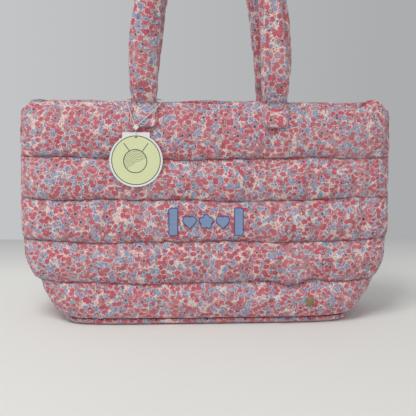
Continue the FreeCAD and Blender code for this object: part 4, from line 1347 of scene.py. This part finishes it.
# ---------------------------------------------------------------- swing tag
# A round tag of folded white card with a straight header. Its cover is printed with a thin dark ring round a
# pale yellow-green disc and a small drawing of a ball of yarn. A white plastic lock pinches the string.
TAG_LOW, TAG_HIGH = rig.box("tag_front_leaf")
TAG_RADIUS, BALL_RADIUS = 0.033, 0.0150
STRAND_TURN, STRAND_BEND, STRAND_PITCH = 0.5, 0.010, 0.0022
NEEDLE_LEAN, NEEDLE_TIP = 0.62, 0.0262


def from_middle(card, across, up):
    return card.work("SQRT", card.work("ADD", card.work("POWER", across, 2.0), card.work("POWER", up, 2.0)))


def card_print(card, where, fibre, colour):
    """The disc, the ring round it, and the ball of yarn with its two needles."""
    parts = card.add("SeparateXYZ", Vector=where)
    across = card.work("SUBTRACT", parts.outputs[0], (TAG_LOW.x + TAG_HIGH.x) / 2)
    up = card.work("SUBTRACT", parts.outputs[2], TAG_LOW.z + TAG_RADIUS)
    away = from_middle(card, across, up)
    disc = card.spread(away, 0.0300, 0.0298)
    colour = card.mix(disc, colour, card.mix(fibre, dye(226, 231, 180), dye(234, 238, 192)))
    ink = card.work("MULTIPLY", card.spread(away, 0.0307, 0.0304), card.spread(away, 0.0294, 0.0297))
    ball_x = card.work("ADD", across, 0.001)
    ball_z = card.work("ADD", up, 0.001)
    ball = from_middle(card, ball_x, ball_z)
    within = card.spread(ball, BALL_RADIUS, BALL_RADIUS - 0.0003)
    outline = card.work("MULTIPLY", within, card.spread(ball, 0.0137, 0.0140))
    # strands of yarn, as parallel arcs across part of the ball
    run = card.work("ADD", card.work("MULTIPLY", ball_x, math.cos(STRAND_TURN)),
                    card.work("MULTIPLY", ball_z, math.sin(STRAND_TURN)))
    off = card.work("SUBTRACT", card.work("MULTIPLY", ball_z, math.cos(STRAND_TURN)),
                    card.work("MULTIPLY", ball_x, math.sin(STRAND_TURN)))
    bent = card.work("MULTIPLY", card.work("POWER", run, 2.0), 0.5 / STRAND_BEND)
    strand = card.work("PINGPONG", card.work("ADD", off, bent), STRAND_PITCH)
    strand = card.work("ABSOLUTE", card.work("SUBTRACT", strand, STRAND_PITCH / 2))
    strand = card.work("MULTIPLY", card.spread(strand, 0.00028, 0.00018), within)
    sector = card.work("GREATER_THAN", off, -0.003)
    outline = card.work("MAXIMUM", outline, card.work("MULTIPLY", strand, sector))
    ink = card.work("MAXIMUM", ink, outline)
    for lean in (NEEDLE_LEAN, -NEEDLE_LEAN):
        run = card.work("ADD", card.work("MULTIPLY", across, math.sin(lean)),
                        card.work("MULTIPLY", up, math.cos(lean)))
        off = card.work("SUBTRACT", card.work("MULTIPLY", across, math.cos(lean)),
                        card.work("MULTIPLY", up, math.sin(lean)))
        off = card.work("ABSOLUTE", off)
        needle = card.work("MULTIPLY", card.spread(off, 0.00052, 0.00042), card.spread(run, 0.0130, 0.0132))
        needle = card.work("MULTIPLY", needle, card.spread(run, NEEDLE_TIP, NEEDLE_TIP - 0.0002))
        ink = card.work("MAXIMUM", ink, needle)
    return card.mix(ink, colour, dye(58, 60, 58))


def card_finish(name, printed):
    card = Finish(name, 0.62)
    where = card.add("TexCoord").outputs["Object"]
    fibre = card.noise(where, 1400.0, 4.0)
    colour = card.mix(fibre, dye(236, 236, 232), dye(248, 248, 245))
    if printed:
        colour = card_print(card, where, fibre, colour)
    card.coat("Base Color", colour)
    card.coat("Roughness", card.spread(fibre, 0.3, 0.7, 0.55, 0.7))
    card.relief(fibre, 0.00004, 0.5)
    return card.material


dress("tag_front_leaf", card_finish("printed_tag_card", True))
dress("tag_back_leaf", card_finish("plain_tag_card", False))
dress("tag_string_end", white_string)


def lock_finish():
    plastic = Finish("white_lock_plastic", 0.35)
    where = plastic.add("TexCoord").outputs["Object"]
    faint = plastic.noise(where, 700.0)
    plastic.coat("Base Color", plastic.mix(faint, dye(236, 236, 234), dye(248, 248, 247)))
    plastic.coat("Roughness", plastic.spread(faint, 0.3, 0.7, 0.3, 0.42))
    plastic.relief(faint, 0.00005, 0.4)
    return plastic.material


dress("tag_string_lock", lock_finish())

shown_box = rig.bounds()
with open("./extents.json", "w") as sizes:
    json.dump({"packed": [list(c) for c in packed_box], "shown": [list(c) for c in shown_box]}, sizes)
